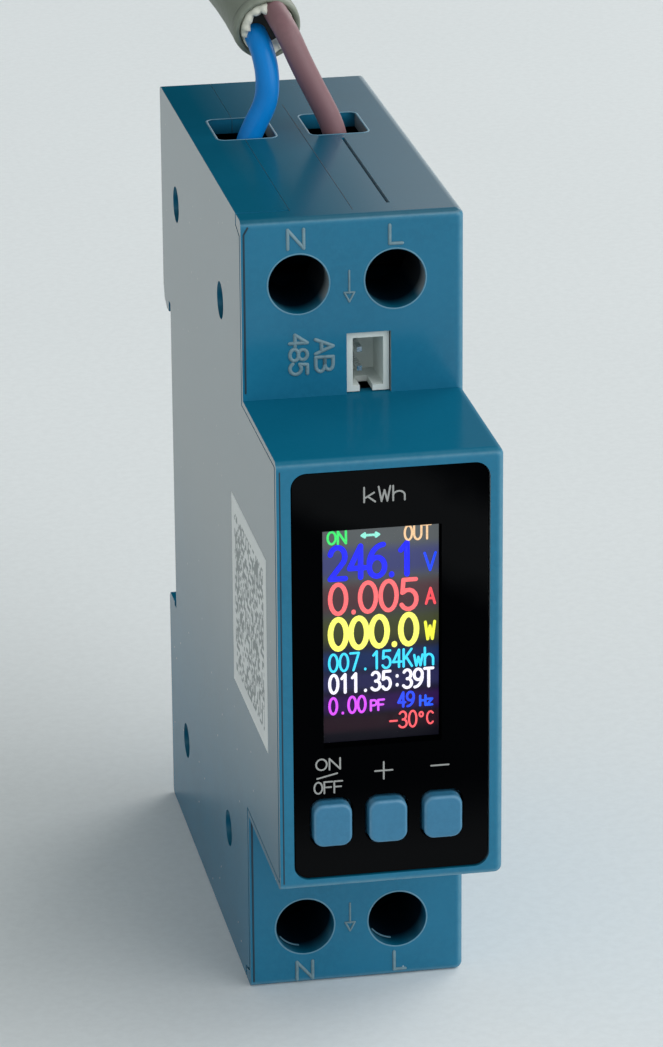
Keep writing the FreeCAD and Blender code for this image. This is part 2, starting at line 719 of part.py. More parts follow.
def make_window():
    window = Piece("display_window")
    middle = window_low + window_tall / 2
    across = around(0, window_wide)
    up = around(middle, window_tall)
    window.block(across, deep(window_back, window_back + window_thick), up)
    window.rounded(window_round, is_corner_of(0, window_wide, middle, window_tall))
    key_hole = (key_wide + key_play * 2, key_tall + key_play * 2)
    through = deep(window_back - 1, front_deep + 1)
    for place in KEYS.values():
        hole = around(key_middle_of(place), key_hole[0])
        window.block(hole, through, around(key_level, key_hole[1]), cut=True)
        corners = is_corner_of(key_middle_of(place), key_hole[0], key_level, key_hole[1])
        window.rounded(key_round + key_play, corners)
    mask = Piece("window_mask")
    mask.block(across, deep(mask_back, window_back), up)
    mask.rounded(window_round, is_corner_of(0, window_wide, middle, window_tall))
    view = around(view_middle, view_wide + mask_margin * 2)
    view_up = around(view_level, view_tall + mask_margin * 2)
    mask.block(view, through, view_up, cut=True)
    for place in KEYS.values():
        hole = around(key_middle_of(place), key_hole[0])
        mask.block(hole, through, around(key_level, key_hole[1]), cut=True)


plunger_tip = front_board_deep + switch_thick + plunger_proud
flange_front = mask_back - key_rest
plunger_inside = 0.7


def make_key(name, place):
    """A key cap with the flange that keeps it in and the stem that presses its switch."""
    key = Piece(f"{name}_button")
    middle = key_middle_of(place)
    cap = deep(flange_front - key_flange_thick, front_deep + key_proud)
    key.block(around(middle, key_wide), cap, around(key_level, key_tall))
    key.rounded(key_round, is_corner_of(middle, key_wide, key_level, key_tall))

    def is_crown(edge):
        return abs(middle_of(edge).y - y(front_deep + key_proud).value) < SNUG

    key.rounded(key_crown, is_crown)
    flange = deep(flange_front - key_flange_thick, flange_front)
    wide = key_wide + key_flange * 2
    tall = key_tall + key_flange * 2
    key.block(around(middle, wide), flange, around(key_level, tall))
    stem = deep(plunger_tip + key_touch, flange_front - key_flange_thick + 0.2)
    key.rod("y", (middle, key_level), key_stem, stem)
    plunger = Piece(f"{name}_plunger")
    inner = front_board_deep + switch_thick - plunger_inside
    plunger.rod("y", (middle, key_level), plunger_wide, deep(inner, plunger_tip))


def make_key_switches():
    switches = Piece("key_switches")
    body = deep(front_board_deep, front_board_deep + switch_thick)
    for place in KEYS.values():
        middle = key_middle_of(place)
        switches.block(around(middle, switch_wide), body, around(key_level, switch_wide))
    bore = plunger_wide + plunger_play * 2
    inner = front_board_deep + switch_thick - plunger_inside - key_travel - 0.2
    for place in KEYS.values():
        hole = deep(inner, front_board_deep + switch_thick + 1)
        switches.rod("y", (key_middle_of(place), key_level), bore, hole, cut=True)


# The display and its board
def make_display():
    across = around(view_middle, lcd_wide)
    up = (lcd_low, lcd_low + lcd_tall)
    Piece("display_glass").block(across, deep(lcd_back, lcd_front), up)
    light_span = deep(backlight_back, lcd_back)
    Piece("display_backlight").block(around(view_middle, lcd_wide), light_span, up)
    pad = around(view_middle, lcd_wide - 2)
    pad_up = (lcd_low + 3.5, lcd_low + lcd_tall - 1)
    Piece("display_pad").block(pad, deep(front_board_deep, backlight_back), pad_up)
    ribbon = Piece("display_ribbon")
    wide = around(view_middle, ribbon_wide)
    glass = lcd_back + ribbon_thick
    ribbon.block(wide, deep(lcd_back, glass), (lcd_low - 0.8, lcd_low))
    under = (lcd_low - 0.8, lcd_low - 0.8 + ribbon_thick)
    ribbon.block(wide, deep(front_board_deep, glass), under)
    foot = deep(front_board_deep, front_board_deep + ribbon_thick)
    ribbon.block(wide, foot, (lcd_low - 0.8, lcd_low + 2.5))


def make_display_board():
    board = Piece("display_board")
    up = (front_board_low, front_board_low + front_board_tall)
    board.block(around(0, front_board_wide), deep(front_board_back, front_board_deep), up)


# The main board and what stands on it
def make_main_board():
    board = Piece("main_board")
    outline = outline_of(
        (board_near, board_low),
        (board_far, board_low),
        (board_far, board_low + 9),
        (board_tongue, board_low + 9),
        (board_tongue, board_high - 8),
        (board_far, board_high - 8),
        (board_far, board_tab),
        (board_far - 6.6, board_tab),
        (board_far - 6.6, board_high),
        (board_near, board_high),
    )
    board.plate("x", outline, (board_side, board_side + board_thick))


def on_board(thick):
    """The X span of a part that stands on the left face of the main board."""
    return board_side - thick, board_side


def make_board_parts():
    back = (board_side + board_thick, board_side + board_thick + 1.1)
    chips = Piece("board_chips")
    chips.block(back, deep(10, 16.2), (28, 33))
    chips.block(back, deep(30, 37), (46, 53))
    chips.block(back, deep(12, 17), (48, 52))
    chips.block(back, deep(22, 26.5), (44, 46))
    Piece("bridge_rectifier").block(on_board(2.4), deep(39.6, 44.2), (17, 21))
    supply = Piece("supply_capacitors")
    supply.rod("x", (y(Size.of(50.5)), 53), 8, (board_side - 12, board_side))
    supply.rod("x", (y(Size.of(50.5)), 44.5), 6.3, (board_side - 11, board_side))
    Piece("film_capacitor").block(on_board(11), deep(39.5, 44.5), (24.5, 37.5))
    varistor = Piece("surge_varistor")
    varistor.rod("x", (y(Size.of(42.2)), 56), 6.6, (board_side - 9.5, board_side - 6))
    for depth in (40.6, 43.8):
        varistor.rod("x", (y(Size.of(depth)), 56), 0.8, (board_side - 6.5, board_side))
    choke = Piece("supply_choke")
    choke.rod("x", (y(Size.of(43.2)), 45.6), 5.4, (board_side - choke_tall, board_side))
    choke.rod("x", (y(Size.of(43.2)), 45.6), 6.4, (board_side - 6.4, board_side - 5.2))
    fuse = Piece("fuse_resistor")
    place = (board_side - 2.4, y(Size.of(46.8)))
    fuse.rod("z", place, 3.6, (28, 37))
    fuse.rod("z", place, 0.9, (25.9, 39.1))
    for level in (26.4, 38.6):
        fuse.rod("x", (y(Size.of(46.8)), level), 0.6, (board_side - 2.4, board_side))


def make_board_link():
    """The plug and socket between the main board and the display board."""
    housing = Piece("link_header")
    deep_span = deep(52.6, front_board_back)
    link_up = (26, 38.8)
    housing.block((board_side - 2.5, board_side), deep_span, link_up)
    pins = Piece("link_pins")
    for count in range(5):
        level = 27.3 + 2.54 * count
        across = around(board_side - 1.25, 0.6)
        pins.block(across, deep(50.6, 52.6), around(level, 0.6))
        pins.block((board_side - 1.55, board_side), deep(50.6, 51.2), around(level, 0.6))


# The switching relay between the live bars
relay_far = relay_near + relay_long
relay_high = relay_low + relay_tall
bar_span = deep(bar_deep, bar_deep + bar_thick)
contact_side = live_side - 1.2
contact_deep = relay_near + 5


def make_relay():
    base = Piece("relay_base")
    up = (relay_low, relay_high)
    base.block((board_side - relay_floor, board_side), deep(relay_near, relay_far), up)
    notch = deep(bar_deep - 0.1, bar_deep + bar_thick + 0.1)
    for level in ((relay_high - relay_notch, relay_high + 1), (relay_low - 1, relay_low + bar_entry + 0.2)):
        base.block((board_side - relay_floor - 1, board_side + 1), notch, level, cut=True)
    lid = Piece("relay_cover")
    across = (relay_side, board_side - relay_floor)
    lid.block(across, deep(relay_near, relay_far), up)
    inside = (relay_side + relay_skin, board_side - relay_floor + 1)
    room = deep(relay_near + relay_skin, relay_far - relay_skin)
    lid.block(inside, room, (relay_low + relay_skin, relay_high - relay_skin), cut=True)
    bar = around(live_side, bar_wide + 0.2)
    bar_room = deep(bar_deep - 0.1, bar_deep + bar_thick + 0.1)
    wide = (bar[0], board_side - relay_floor + 1)
    for level in ((relay_high - 2, relay_high + 1), (relay_low - 1, relay_low + 2)):
        lid.block(wide, bar_room, level, cut=True)
    coil_deep = relay_far - 8.5
    coil_side = board_side - relay_floor - 5.6
    coil_up = (relay_low + 7, relay_high - 12)
    coil = Piece("relay_coil")
    coil.rod("z", (coil_side, y(coil_deep)), 9, coil_up)
    bobbin = Piece("relay_bobbin")
    for level in ((coil_up[0] - 1, coil_up[0]), (coil_up[1], coil_up[1] + 1)):
        side = around(coil_side, 11)
        bobbin.block(side, deep(coil_deep - 5.5, coil_deep + 5.5), level)
        bobbin.rod("z", (coil_side, y(coil_deep)), 4, level, cut=True)
    yoke = Piece("relay_core")
    core_up = (coil_up[0] - 2.2, coil_up[1] + 1.4)
    yoke.rod("z", (coil_side, y(coil_deep)), 3.9, core_up)
    leg = deep(coil_deep - 8.4, coil_deep - 6.6)
    leg_top = core_up[1] + rocker_gap - 0.1
    foot = deep(coil_deep - 8.4, coil_deep + 2)
    yoke.block(around(coil_side, 8), foot, (core_up[0], core_up[0] + 1.2))
    yoke.block(around(coil_side, 8), leg, (core_up[0], leg_top))
    return coil_side, coil_deep, core_up


def cut_core(coil):
    coil_side, coil_deep, core_up = coil
    coil_piece = next(p for p in pieces if p.Label == "relay_coil")
    hole = coil_piece.newObject("PartDesign::SubtractiveCylinder", "Bore")
    hole.setExpression("Radius", "2")
    hole.setExpression("Height", (core_up[1] - core_up[0]).text)
    for axis, where in zip("xyz", (coil_side, y(coil_deep), core_up[0])):
        hole.setExpression("Placement.Base." + axis, where.text)


def make_relay_rocker(coil):
    """The armature above the coil, which carries the moving contact."""
    coil_side, coil_deep, core_up = coil
    arm_up = (core_up[1] + rocker_gap, core_up[1] + rocker_gap + 1.2)
    arm = Piece("relay_armature")
    arm.block(around(coil_side, 7.6), deep(relay_near + 2.4, coil_deep + 4.6), arm_up)
    contact = Piece("moving_contact")
    contact_up = (arm_up[1], arm_up[1] + contact_thick)
    contact.rod("z", (contact_side, y(contact_deep)), contact_wide, contact_up)
    return contact_up[1] + contact_gap


# The current path: copper bars, shunt and clamps
def make_bars(fixed_contact):
    """The bars of both poles. fixed_contact is the level of the contact's face."""
    low_end = lower_level - cage_tall / 2 + 0.1
    high_end = upper_level + cage_tall / 2 - 0.1
    run = deep(board_near, bar_deep + bar_thick)
    rear = deep(board_near, board_near + bar_thick)
    neutral = Piece("neutral_bar")
    across = around(neutral_side, bar_wide)
    upper_run = (screw_rear_up - post_wide / 2 - 0.3 - bar_thick, screw_rear_up - post_wide / 2 - 0.3)
    lower_run = (screw_rear_down + post_wide / 2 + 0.5, screw_rear_down + post_wide / 2 + 0.5 + bar_thick)
    neutral.block(across, bar_span, (upper_run[0], high_end))
    neutral.block(across, run, upper_run)
    neutral.block(across, rear, (lower_run[0], upper_run[1]))
    neutral.block(across, run, lower_run)
    neutral.block(across, bar_span, (low_end, lower_run[1]))
    supply = Piece("live_bar_supply")
    across = around(live_side, bar_wide)
    strip_up = (fixed_contact + contact_thick, fixed_contact + contact_thick + 1.2)
    supply.block(across, bar_span, (strip_up[0], high_end))
    strip = (contact_side - contact_wide / 2, contact_side + contact_wide / 2 + 1)
    supply.block(strip, deep(contact_deep - 2, bar_deep + 0.2), strip_up)
    fixed_up = (fixed_contact, strip_up[0] + 0.2)
    supply.rod("z", (contact_side, y(contact_deep)), contact_wide, fixed_up)
    shunt_up = (lower_level + cage_tall / 2 + 1.2, relay_low - 1.6)
    Piece("current_shunt").block(around(live_side, 3.4), bar_span, shunt_up)
    load = Piece("live_bar_load")
    load.block(across, bar_span, (low_end, shunt_up[0]))
    link = Piece("live_bar_link")
    link.block(across, bar_span, (shunt_up[1], relay_low + bar_entry))
    braid_up = (relay_low + 1, relay_low + 2.2)
    link.block(around(contact_side, 1.6), deep(bar_deep - 2.6, bar_deep + 0.2), braid_up)


def make_terminal(end, side_name, level, shut):
    """A clamp cage on its screw. The upper clamps grip a wire and the lower ones are open."""
    side = TERMINAL_SIDES[side_name]
    name = f"{end}_{side_name}"
    near = bar_deep - clamp_gap - cage_jaw
    if not shut:
        near = near - clamp_travel
    cage = Piece(f"{name}_cage")
    across = around(side, cage_wide)
    up = around(level, cage_tall)
    cage.block(across, deep(near, near + cage_long), up)
    room = around(side, cage_wide - cage_wall * 2)
    cage.block(room, deep(near + cage_jaw, near + cage_long - cage_nut), (up[0] - 1, up[1] + 1), cut=True)
    bore = screw_wide + screw_play * 2
    cage.rod("y", (side, level), bore, deep(near + cage_jaw + 0.5, near + cage_long + 1), cut=True)
    screw = Piece(f"{name}_screw")
    tip = bar_deep + bar_thick + 0.05
    head = collar_deep + 0.25
    screw.rod("y", (side, level), screw_wide, deep(tip, head + 0.2))
    screw.rod("y", (side, level), screw_head, deep(head, head + screw_head_long))
    slot = deep(head + screw_head_long - 1.1, head + screw_head_long + 1)
    screw.block(around(side, screw_head - 1), slot, around(level, 0.8), cut=True)
    screw.block(around(side, 0.8), slot, around(level, screw_head - 1), cut=True)


# The data connector
def make_data_connector():
    middle_up = block_high + port_tall / 2
    across = around(port_middle, port_wide - port_play * 2)
    up = around(middle_up, port_tall - port_play * 2)
    face = shoulder_deep - port_sunk
    back = face - port_long
    housing = Piece("data_connector")
    housing.block(across, deep(back, face), up)
    room = around(port_middle, port_wide - (port_play + port_skin) * 2)
    room_up = around(middle_up, port_tall - (port_play + port_skin) * 2)
    housing.block(room, deep(back + 1.6, face + 1), room_up, cut=True)
    notch = around(port_middle - 0.2, 1.3)
    housing.block(notch, deep(face - 3, face + 1), (up[0] - 1, room_up[0] + 0.1), cut=True)
    pin_room = pin_wide + 0.06
    pin_side = port_middle - 0.7
    levels = [middle_up + pin_pitch * count for count in (-0.5, 0.5)]
    for level in levels:
        hole = around(level, pin_room)
        housing.block(around(pin_side, pin_room), deep(back - 1, back + 3), hole, cut=True)
    pins = Piece("data_pins")
    tail = deep(back - 1.2, back - 1.2 + pin_wide)
    for level in levels:
        pins.block(around(pin_side, pin_wide), deep(back - 1.2, face - 0.9), around(level, pin_wide))
        pins.block((pin_side - pin_wide / 2, board_side), tail, around(level, pin_wide))


# The rail latch
latch_front = -rail_slot - latch_play - 0.05
latch_rear = latch_front - latch_thick
latch_top = rail_base + latch_over


def make_latch():
    latch = Piece("din_latch")
    body = deep(latch_rear, latch_front)
    latch.block(around(0, latch_wide), body, (latch_low, latch_top))

    def is_lip(edge):
        return runs(edge, "x") and at(edge, y=y(latch_rear), z=latch_top)

    latch.rounded(1.2, is_lip, "Chamfer")
    ears = deep(latch_front - latch_guide, latch_front)
    latch.block(around(0, latch_wide + latch_ear * 2), ears, (latch_low, rail_base - 6))
    opening = (spring_low - 1.5 - latch_slack, spring_high)
    slot = around(0, spring_wide + spring_wire + 1)
    latch.block(slot, deep(latch_rear - 1, latch_front + 1), opening, cut=True)
    pull = (latch_low + 2, latch_low + 4.2)
    latch.block(around(0, 4.5), deep(latch_rear - 1, latch_rear + 1.4), pull, cut=True)


# Screws and label
def make_case_screws():
    screws = Piece("case_screws")
    for depth, height in POSTS:
        place = (y(depth), height)
        screws.rod("x", place, case_screw_head, (head_seat - case_screw_head_long, head_seat))
        screws.rod("x", place, case_screw_wide, (head_seat - 0.2, head_seat + case_screw_long))
    for depth, height in POSTS:
        recess = (head_seat - case_screw_head_long - 1, head_seat - case_screw_head_long + 0.9)
        screws.block(recess, around(y(depth), 0.6), around(height, 2.4), cut=True)
        screws.block(recess, around(y(depth), 2.4), around(height, 0.6), cut=True)


def make_label():
    label = Piece("side_label")
    face = left_face + label_sunk
    along = deep(label_near, label_near + label_wide)
    label.block((face - label_thick, face), along, (label_low, label_low + label_wide))


# Wires, springs and cords: round tubes along a path
def read(name):
    """The number in one cell of the sheet."""
    return float(sheet.get(name))


def add_tube(name, path, width):
    """A round tube along a list of joined edges, with its volume compared."""
    wire = Part.Wire(path)
    start = path[0].Vertexes[0].Point
    ahead = path[0].tangentAt(path[0].FirstParameter)
    ring = Part.Wire(Part.Circle(start, ahead, width / 2).toShape())
    tube = doc.addObject("Part::Feature", name)
    tube.Label = name
    tube.Shape = wire.makePipeShell([ring], True)
    tube.Placement = FreeCAD.Placement()
    pieces.append(tube)
    ideal = math.pi * width**2 / 4 * wire.Length
    share = tube.Shape.Volume / ideal
    print(f"{name}: length {wire.Length:.1f} mm, volume {share:.4f} of section times length")
    return tube


def rounded_path(name, points, width):
    """Straight runs through points, joined by tangent arcs as large as the runs allow."""
    points = [Vector(*point) for point in points]
    edges = []
    radii = []
    start = points[0]
    for before, here, after in zip(points, points[1:], points[2:]):
        back = before - here
        ahead = after - here
        half_turn = (math.pi - back.getAngle(ahead)) / 2
        radius = 0.45 * min(back.Length, ahead.Length) / math.tan(half_turn)
        reach = radius * math.tan(half_turn)
        back.normalize()
        ahead.normalize()
        first = here + back * reach
        last = here + ahead * reach
        inward = (back + ahead).normalize()
        middle = here + inward * (radius / math.cos(half_turn) - radius)
        edges.append(Part.LineSegment(start, first).toShape())
        edges.append(Part.Arc(first, middle, last).toShape())
        radii.append(radius / width)
        start = last
    edges.append(Part.LineSegment(start, points[-1]).toShape())
    print(f"{name}: radii in diameters", " ".join(f"{radius:.1f}" for radius in radii))
    return edges


def two_arcs(start, ahead, end, onward):
    """Two tangent arcs from one point and direction to another."""
    across = end - start
    both = ahead + onward
    spread = 2 * (1 - ahead.dot(onward))
    along = across.dot(both)
    reach = (math.sqrt(along**2 + spread * across.dot(across)) - along) / spread
    first = start + ahead * reach
    last = end - onward * reach
    joint = (first + last) / 2
    arcs = []
    for near, corner, far in ((start, first, joint), (joint, last, end)):
        chord = far - near
        height = corner - (near + far) / 2
        turn = math.atan2(height.Length, chord.Length / 2)
        sagitta = chord.Length / 2 * math.tan(turn / 2)
        middle = (near + far) / 2 + height.normalize() * sagitta
        arcs.append(Part.Arc(near, middle, far).toShape())
    return arcs


def wound_path(place, turns, width, first_way=None, last_way=None):
    """Two arcs for each quarter turn of a winding, with straight ends one width long."""

    def way(turn):
        step = place(turn + 1e-5) - place(turn - 1e-5)
        return step.normalize()

    count = math.ceil(turns * 4)
    stops = [turns * i / count for i in range(count + 1)]
    ways = [way(turn) for turn in stops]
    ways[0] = first_way or ways[0]
    ways[-1] = last_way or ways[-1]
    spots = [place(turn) for turn in stops]
    edges = [Part.LineSegment(spots[0] - ways[0] * width, spots[0]).toShape()]
    for i in range(count):
        edges += two_arcs(spots[i], ways[i], spots[i + 1], ways[i + 1])
    edges.append(Part.LineSegment(spots[-1], spots[-1] + ways[-1] * width).toShape())
    return edges


def print_least_gap(name, path, width):
    """Measures a winding's least gap to itself on points along its path."""
    points = []
    run = 0
    for edge in path:
        count = max(2, int(edge.Length / width * 3))
        for i in range(count):
            step = (edge.LastParameter - edge.FirstParameter) * i / count
            points.append((run + edge.Length * i / count, edge.valueAt(edge.FirstParameter + step)))
        run += edge.Length
    least = min(
        one.distanceToPoint(other)
        for i, (here, one) in enumerate(points)
        for there, other in points[i + 1 :]
        if there - here > width * 4
    )
    print(f"{name}: least gap to itself {least - width:.2f} mm")


# The spring behind the rail latch
def make_latch_spring():
    """A compression spring between the case's boss and the top of the latch's opening."""
    wire = read("spring_wire")
    turns = read("spring_turns")
    radius = read("spring_wide") / 2
    low = read("spring_low")
    high = read("spring_high")
    end = wire * 2.2
    middle = y(latch_front - latch_thick / 2).value
    pitch = (high - low - end * 2) / turns

    def place(turn):
        angle = 2 * math.pi * turn
        level = low + end + pitch * turn
        return Vector(radius * math.cos(angle), middle + radius * math.sin(angle), level)

    up = Vector(0, 0, 1)
    winding = wound_path(place, turns, wire)[1:-1]
    first = winding[0].Vertexes[0].Point
    last = winding[-1].Vertexes[-1].Point
    bend = Vector(0, -end * 0.55, 0)
    foot = Vector(first.x, first.y + bend.y, low)
    head = Vector(last.x, last.y - bend.y, high)
    lower = two_arcs(foot + up * wire, up, first, winding[0].tangentAt(winding[0].FirstParameter))
    upper = two_arcs(last, winding[-1].tangentAt(winding[-1].LastParameter), head - up * wire, up)
    path = [Part.LineSegment(foot, foot + up * wire).toShape()]
    path += lower + winding + upper
    path.append(Part.LineSegment(head - up * wire, head).toShape())
    print_least_gap("latch_spring", path, wire)
    add_tube("latch_spring", path, wire)


# The supply cable: two cores, the lead, its coil and the plug
BLUE_STEPS = [
    (0, 0, 0),
    (0.05, 0, 1.5),
    (0.9, 0, 3.6),
    (2.3, 0.1, 6.1),
    (2.55, 0.3, 8.9),
    (2.2, 1.5, 11.4),
    (2.05, 4.5, 12.1),
    (1.95, 7.7, 12.6),
]
BROWN_STEPS = [
    (0, 0, 0),
    (-0.05, 0, 1.6),
    (-0.75, 0, 4.0),
    (-2.25, -0.1, 7.0),
    (-3.95, -0.3, 10.5),
    (-5.15, 0.3, 13.5),
    (-5.8, 3.5, 14.8),
    (-6.05, 7.6, 15.6),
]
LEAD_CORNERS = [
    (-2.3, 20, 93.3),
    (-3.7, 39.5, 97.5),
    (-13, 60.5, 96.3),
    (-29.3, 75.7, 87.3),
    (-47.1, 82.2, 69.5),
    (-61.3, 81.9, 47.7),
    (-75.9, 78.3, 24.6),
    (-92.1, 70.7, 9.9),
    (-107.9, 60.0, 3.65),
    (-118.6, 51.0, 3.65),
]
clamped = y(bar_deep - clamp_gap / 2)


def make_cores():
    """The cores, each in steps from the middle of its closed clamp."""
    cores = (("blue_core", neutral_side, BLUE_STEPS), ("brown_core", live_side, BROWN_STEPS))
    for name, side, steps in cores:
        begin = Vector(side.value, clamped.value, core_level.value)
        route = [begin + Vector(*step) for step in steps]
        add_tube(name, rounded_path(name, route, read("core_wide")), read("core_wide"))
    ends = Piece("core_ends")
    for side in TERMINAL_SIDES.values():
        ends.rod("z", (side, clamped), wire_wide, (core_level - core_grip, core_level))


def lead_route():
    """The lead's corners, stretched in height between the clamps and the floor."""
    low = read("cable_wide") / 2
    drawn_high, drawn_low = LEAD_CORNERS[0][2], LEAD_CORNERS[-1][2]
    stretch = ((core_level + lead_start).value - low) / (drawn_high - drawn_low)
    return [(a, b, low + (level - drawn_low) * stretch) for a, b, level in LEAD_CORNERS]


def make_cable():
    """The lead down to the floor and the coil that takes up the rest of its length."""
    width = read("cable_wide")
    route = lead_route()
    add_tube("cable_lead", rounded_path("cable_lead", route, width), width)
    before, end = (Vector(*point) for point in route[-2:])
    heading_out = (end - before).normalize()
    start_angle = math.atan2(heading_out.y, heading_out.x) - math.pi / 2
    start_angle %= 2 * math.pi
    turns = read("coil_rounds") - start_angle / (2 * math.pi)
    step = read("coil_step")
    inner = read("coil_middle_wide") / 2 - step * turns / 4
    outward = Vector(math.cos(start_angle), math.sin(start_angle), 0)
    centre = end + heading_out * width - outward * (inner + step * turns / 2)
    tail = read("coil_end_turns")
    rise = width / 2 + read("plug_lift") + read("plug_thick") / 2

    def place(turn):
        reach = turn - turns / 2
        radius = inner + step * abs(reach)
        climb = min(1, max(0, 0.5 + reach * 2))
        level = centre.z + step * climb**2 * (3 - 2 * climb)
        late = max(0, (turn - turns + tail) / tail)
        late = late**2 * (3 - 2 * late)
        radius += (read("coil_end_wide") / 2 - radius) * late
        level += rise * late
        angle = start_angle + 2 * math.pi * turn
        return Vector(centre.x + radius * math.cos(angle), centre.y + radius * math.sin(angle), level)

    backward = Vector(0, 1, 0)
    path = wound_path(place, turns, width, heading_out, backward)
    print(f"cable_coil: {turns:.2f} turns about {centre.x:.1f}, {centre.y:.1f}")
    print_least_gap("cable_coil", path, width)
    add_tube("cable_coil", path, width)
    return path[-1].Vertexes[-1].Point


def make_plug(entry):
    """A flat plug with two pins, built about the cable's entry and then put on the coil."""
    body = Piece("plug_body")
    face = plug_neck_long + plug_taper + plug_front
    outline = [
        (plug_neck / 2, plug_neck_long - 1),
        (plug_wide / 2, plug_neck_long + plug_taper),
        (plug_wide / 2, face),
        (-plug_wide / 2, face),
        (-plug_wide / 2, plug_neck_long + plug_taper),
        (-plug_neck / 2, plug_neck_long - 1),
    ]
    body.plate("z", outline, around(0, plug_thick))
    body.rod("y", (0, 0), plug_neck, (0, plug_neck_long))
    pins = Piece("plug_pins")
    for side in (-plug_pin_pitch / 2, plug_pin_pitch / 2):
        pins.rod("y", (side, 0), plug_pin_wide, (face, face + plug_pin_long))
    for piece in (body, pins):
        piece.body.Placement = FreeCAD.Placement(entry, FreeCAD.Rotation())


# Everything, from the outside in
make_main_shell()
make_left_cover()
make_window()
for key_name, key_place in KEYS.items():
    make_key(key_name, key_place)
make_key_switches()
make_display()
make_display_board()
make_main_board()
make_board_parts()
make_board_link()
relay = make_relay()
cut_core(relay)
make_bars(make_relay_rocker(relay))
for terminal_side in TERMINAL_SIDES:
    make_terminal("upper", terminal_side, upper_level, shut=True)
    make_terminal("lower", terminal_side, lower_level, shut=False)
make_data_connector()
make_latch()
doc.recompute()
make_latch_spring()
make_case_screws()
make_label()
make_cores()
make_plug(make_cable())
doc.recompute()


# Every object must have come out sound before anything is written
for thing in doc.Objects:
    if any(state in thing.State for state in ("Invalid", "Error")):
        raise RuntimeError(f"{thing.Label} failed: {thing.State}")
names = [piece.Label for piece in pieces]
if len(set(names)) != len(names):
    raise RuntimeError("two pieces share a name")
for piece in pieces:
    if piece.Shape.isNull() or not piece.Shape.isValid():
        raise RuntimeError(f"{piece.Label} has no valid shape")
os.makedirs("parts", exist_ok=True)
for piece in pieces:
    piece.Shape.exportStep(f"parts/{piece.Label}.step")
print(f"{len(pieces)} pieces written")
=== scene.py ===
"""Looks of a slim rail-mounted energy meter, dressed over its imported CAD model.

Every piece is in metres, in the frame of the CAD model: X across the meter, +Y to the back,
+Z up, with the origin on the floor under the middle of the case.
"""

import json
import logging
import math
import random
from dataclasses import dataclass
from enum import Enum
from typing import Iterable, Optional, Sequence

import bmesh
import bpy
from mathutils import Matrix, Vector


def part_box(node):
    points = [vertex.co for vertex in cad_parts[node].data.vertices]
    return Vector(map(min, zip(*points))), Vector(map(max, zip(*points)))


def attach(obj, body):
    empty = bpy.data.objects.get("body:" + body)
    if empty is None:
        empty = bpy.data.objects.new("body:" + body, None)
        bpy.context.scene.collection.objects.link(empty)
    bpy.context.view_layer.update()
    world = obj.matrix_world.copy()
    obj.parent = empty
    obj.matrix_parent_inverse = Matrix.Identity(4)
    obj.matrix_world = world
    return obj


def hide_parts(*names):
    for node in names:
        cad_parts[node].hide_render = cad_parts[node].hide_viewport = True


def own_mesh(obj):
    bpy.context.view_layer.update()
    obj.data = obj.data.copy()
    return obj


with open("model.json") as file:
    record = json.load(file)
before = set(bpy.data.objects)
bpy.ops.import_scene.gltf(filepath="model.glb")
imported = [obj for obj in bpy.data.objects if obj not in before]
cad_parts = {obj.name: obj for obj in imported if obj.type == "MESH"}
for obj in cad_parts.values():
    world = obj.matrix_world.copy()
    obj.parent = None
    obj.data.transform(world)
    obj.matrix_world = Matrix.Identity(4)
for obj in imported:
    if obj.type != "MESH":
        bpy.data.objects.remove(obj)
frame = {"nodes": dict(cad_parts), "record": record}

LOG = logging.getLogger("energy_meter")
MM = 0.001
CASE = "case"
Colour = tuple[float, float, float]
Point = tuple[float, float, float]
Flat = tuple[float, float]
FULL_TURN = 2 * math.pi

# Sizes of the CAD model in millimetres
CASE_HALF_WIDE = 11.25
CASE_REAR = 36.3
CASE_TALL = 83.0
SHOULDER_FRONT = -16.5
BLOCK_FRONT = -35.5
BLOCK_FOOT, BLOCK_HEAD = 19.4, 64.4
POLE_SIDES = (-5.5, 4.25)
UPPER_HOLES, LOWER_HOLES = 76.2, 6.5


def add_object(name: str, data: bpy.types.ID) -> bpy.types.Object:
    """Links new data to the scene as an object at the origin."""
    piece = bpy.data.objects.new(name, data)
    bpy.context.scene.collection.objects.link(piece)
    return piece


def set_values(owner: bpy.types.Node, **values) -> None:
    """Sets plain values of a node's inputs, with underscores for the spaces of their names."""
    for name, value in values.items():
        owner.inputs[name.replace("_", " ")].default_value = value


def from_screen(red: int, green: int, blue: int) -> Colour:
    """Turns a colour as it looks on a screen into linear light.

    Args:
        red: Red, from 0 to 255.
        green: Green, from 0 to 255.
        blue: Blue, from 0 to 255.

    Returns:
        The same colour as three linear values.
    """

    def linear(value: int) -> float:
        share = value / 255
        return share / 12.92 if share <= 0.04045 else ((share + 0.055) / 1.055) ** 2.4

    return linear(red), linear(green), linear(blue)


# The camera
@dataclass(frozen=True)
class CameraSpot:
    """Where the camera stands, by the point it looks at."""

    aim: Point = (1.44, 4.4, 43.0)
    azimuth: float = -10.36
    elevation: float = 20.15
    roll: float = -0.45
    distance: float = 514.3
    lens: float = 167.8
    sensor: float = 36.0

    def place(self) -> bpy.types.Object:
        """Makes the camera and gives it to the scene.

        Returns:
            The camera object.
        """
        around = math.radians(self.azimuth)
        up = math.radians(self.elevation)
        back = Vector((math.sin(around) * math.cos(up), -math.cos(around) * math.cos(up), math.sin(up)))
        data = bpy.data.cameras.new("camera")
        data.lens = self.lens
        data.sensor_width = self.sensor
        data.clip_start, data.clip_end = 0.01, 20
        camera = add_object("camera", data)
        turn = back.to_track_quat("Z", "Y").to_matrix().to_4x4()
        roll = Matrix.Rotation(math.radians(self.roll), 4, "Z")
        spot = (Vector(self.aim) + back * self.distance) * MM
        camera.matrix_world = Matrix.Translation(spot) @ turn @ roll
        bpy.context.scene.camera = camera
        return camera


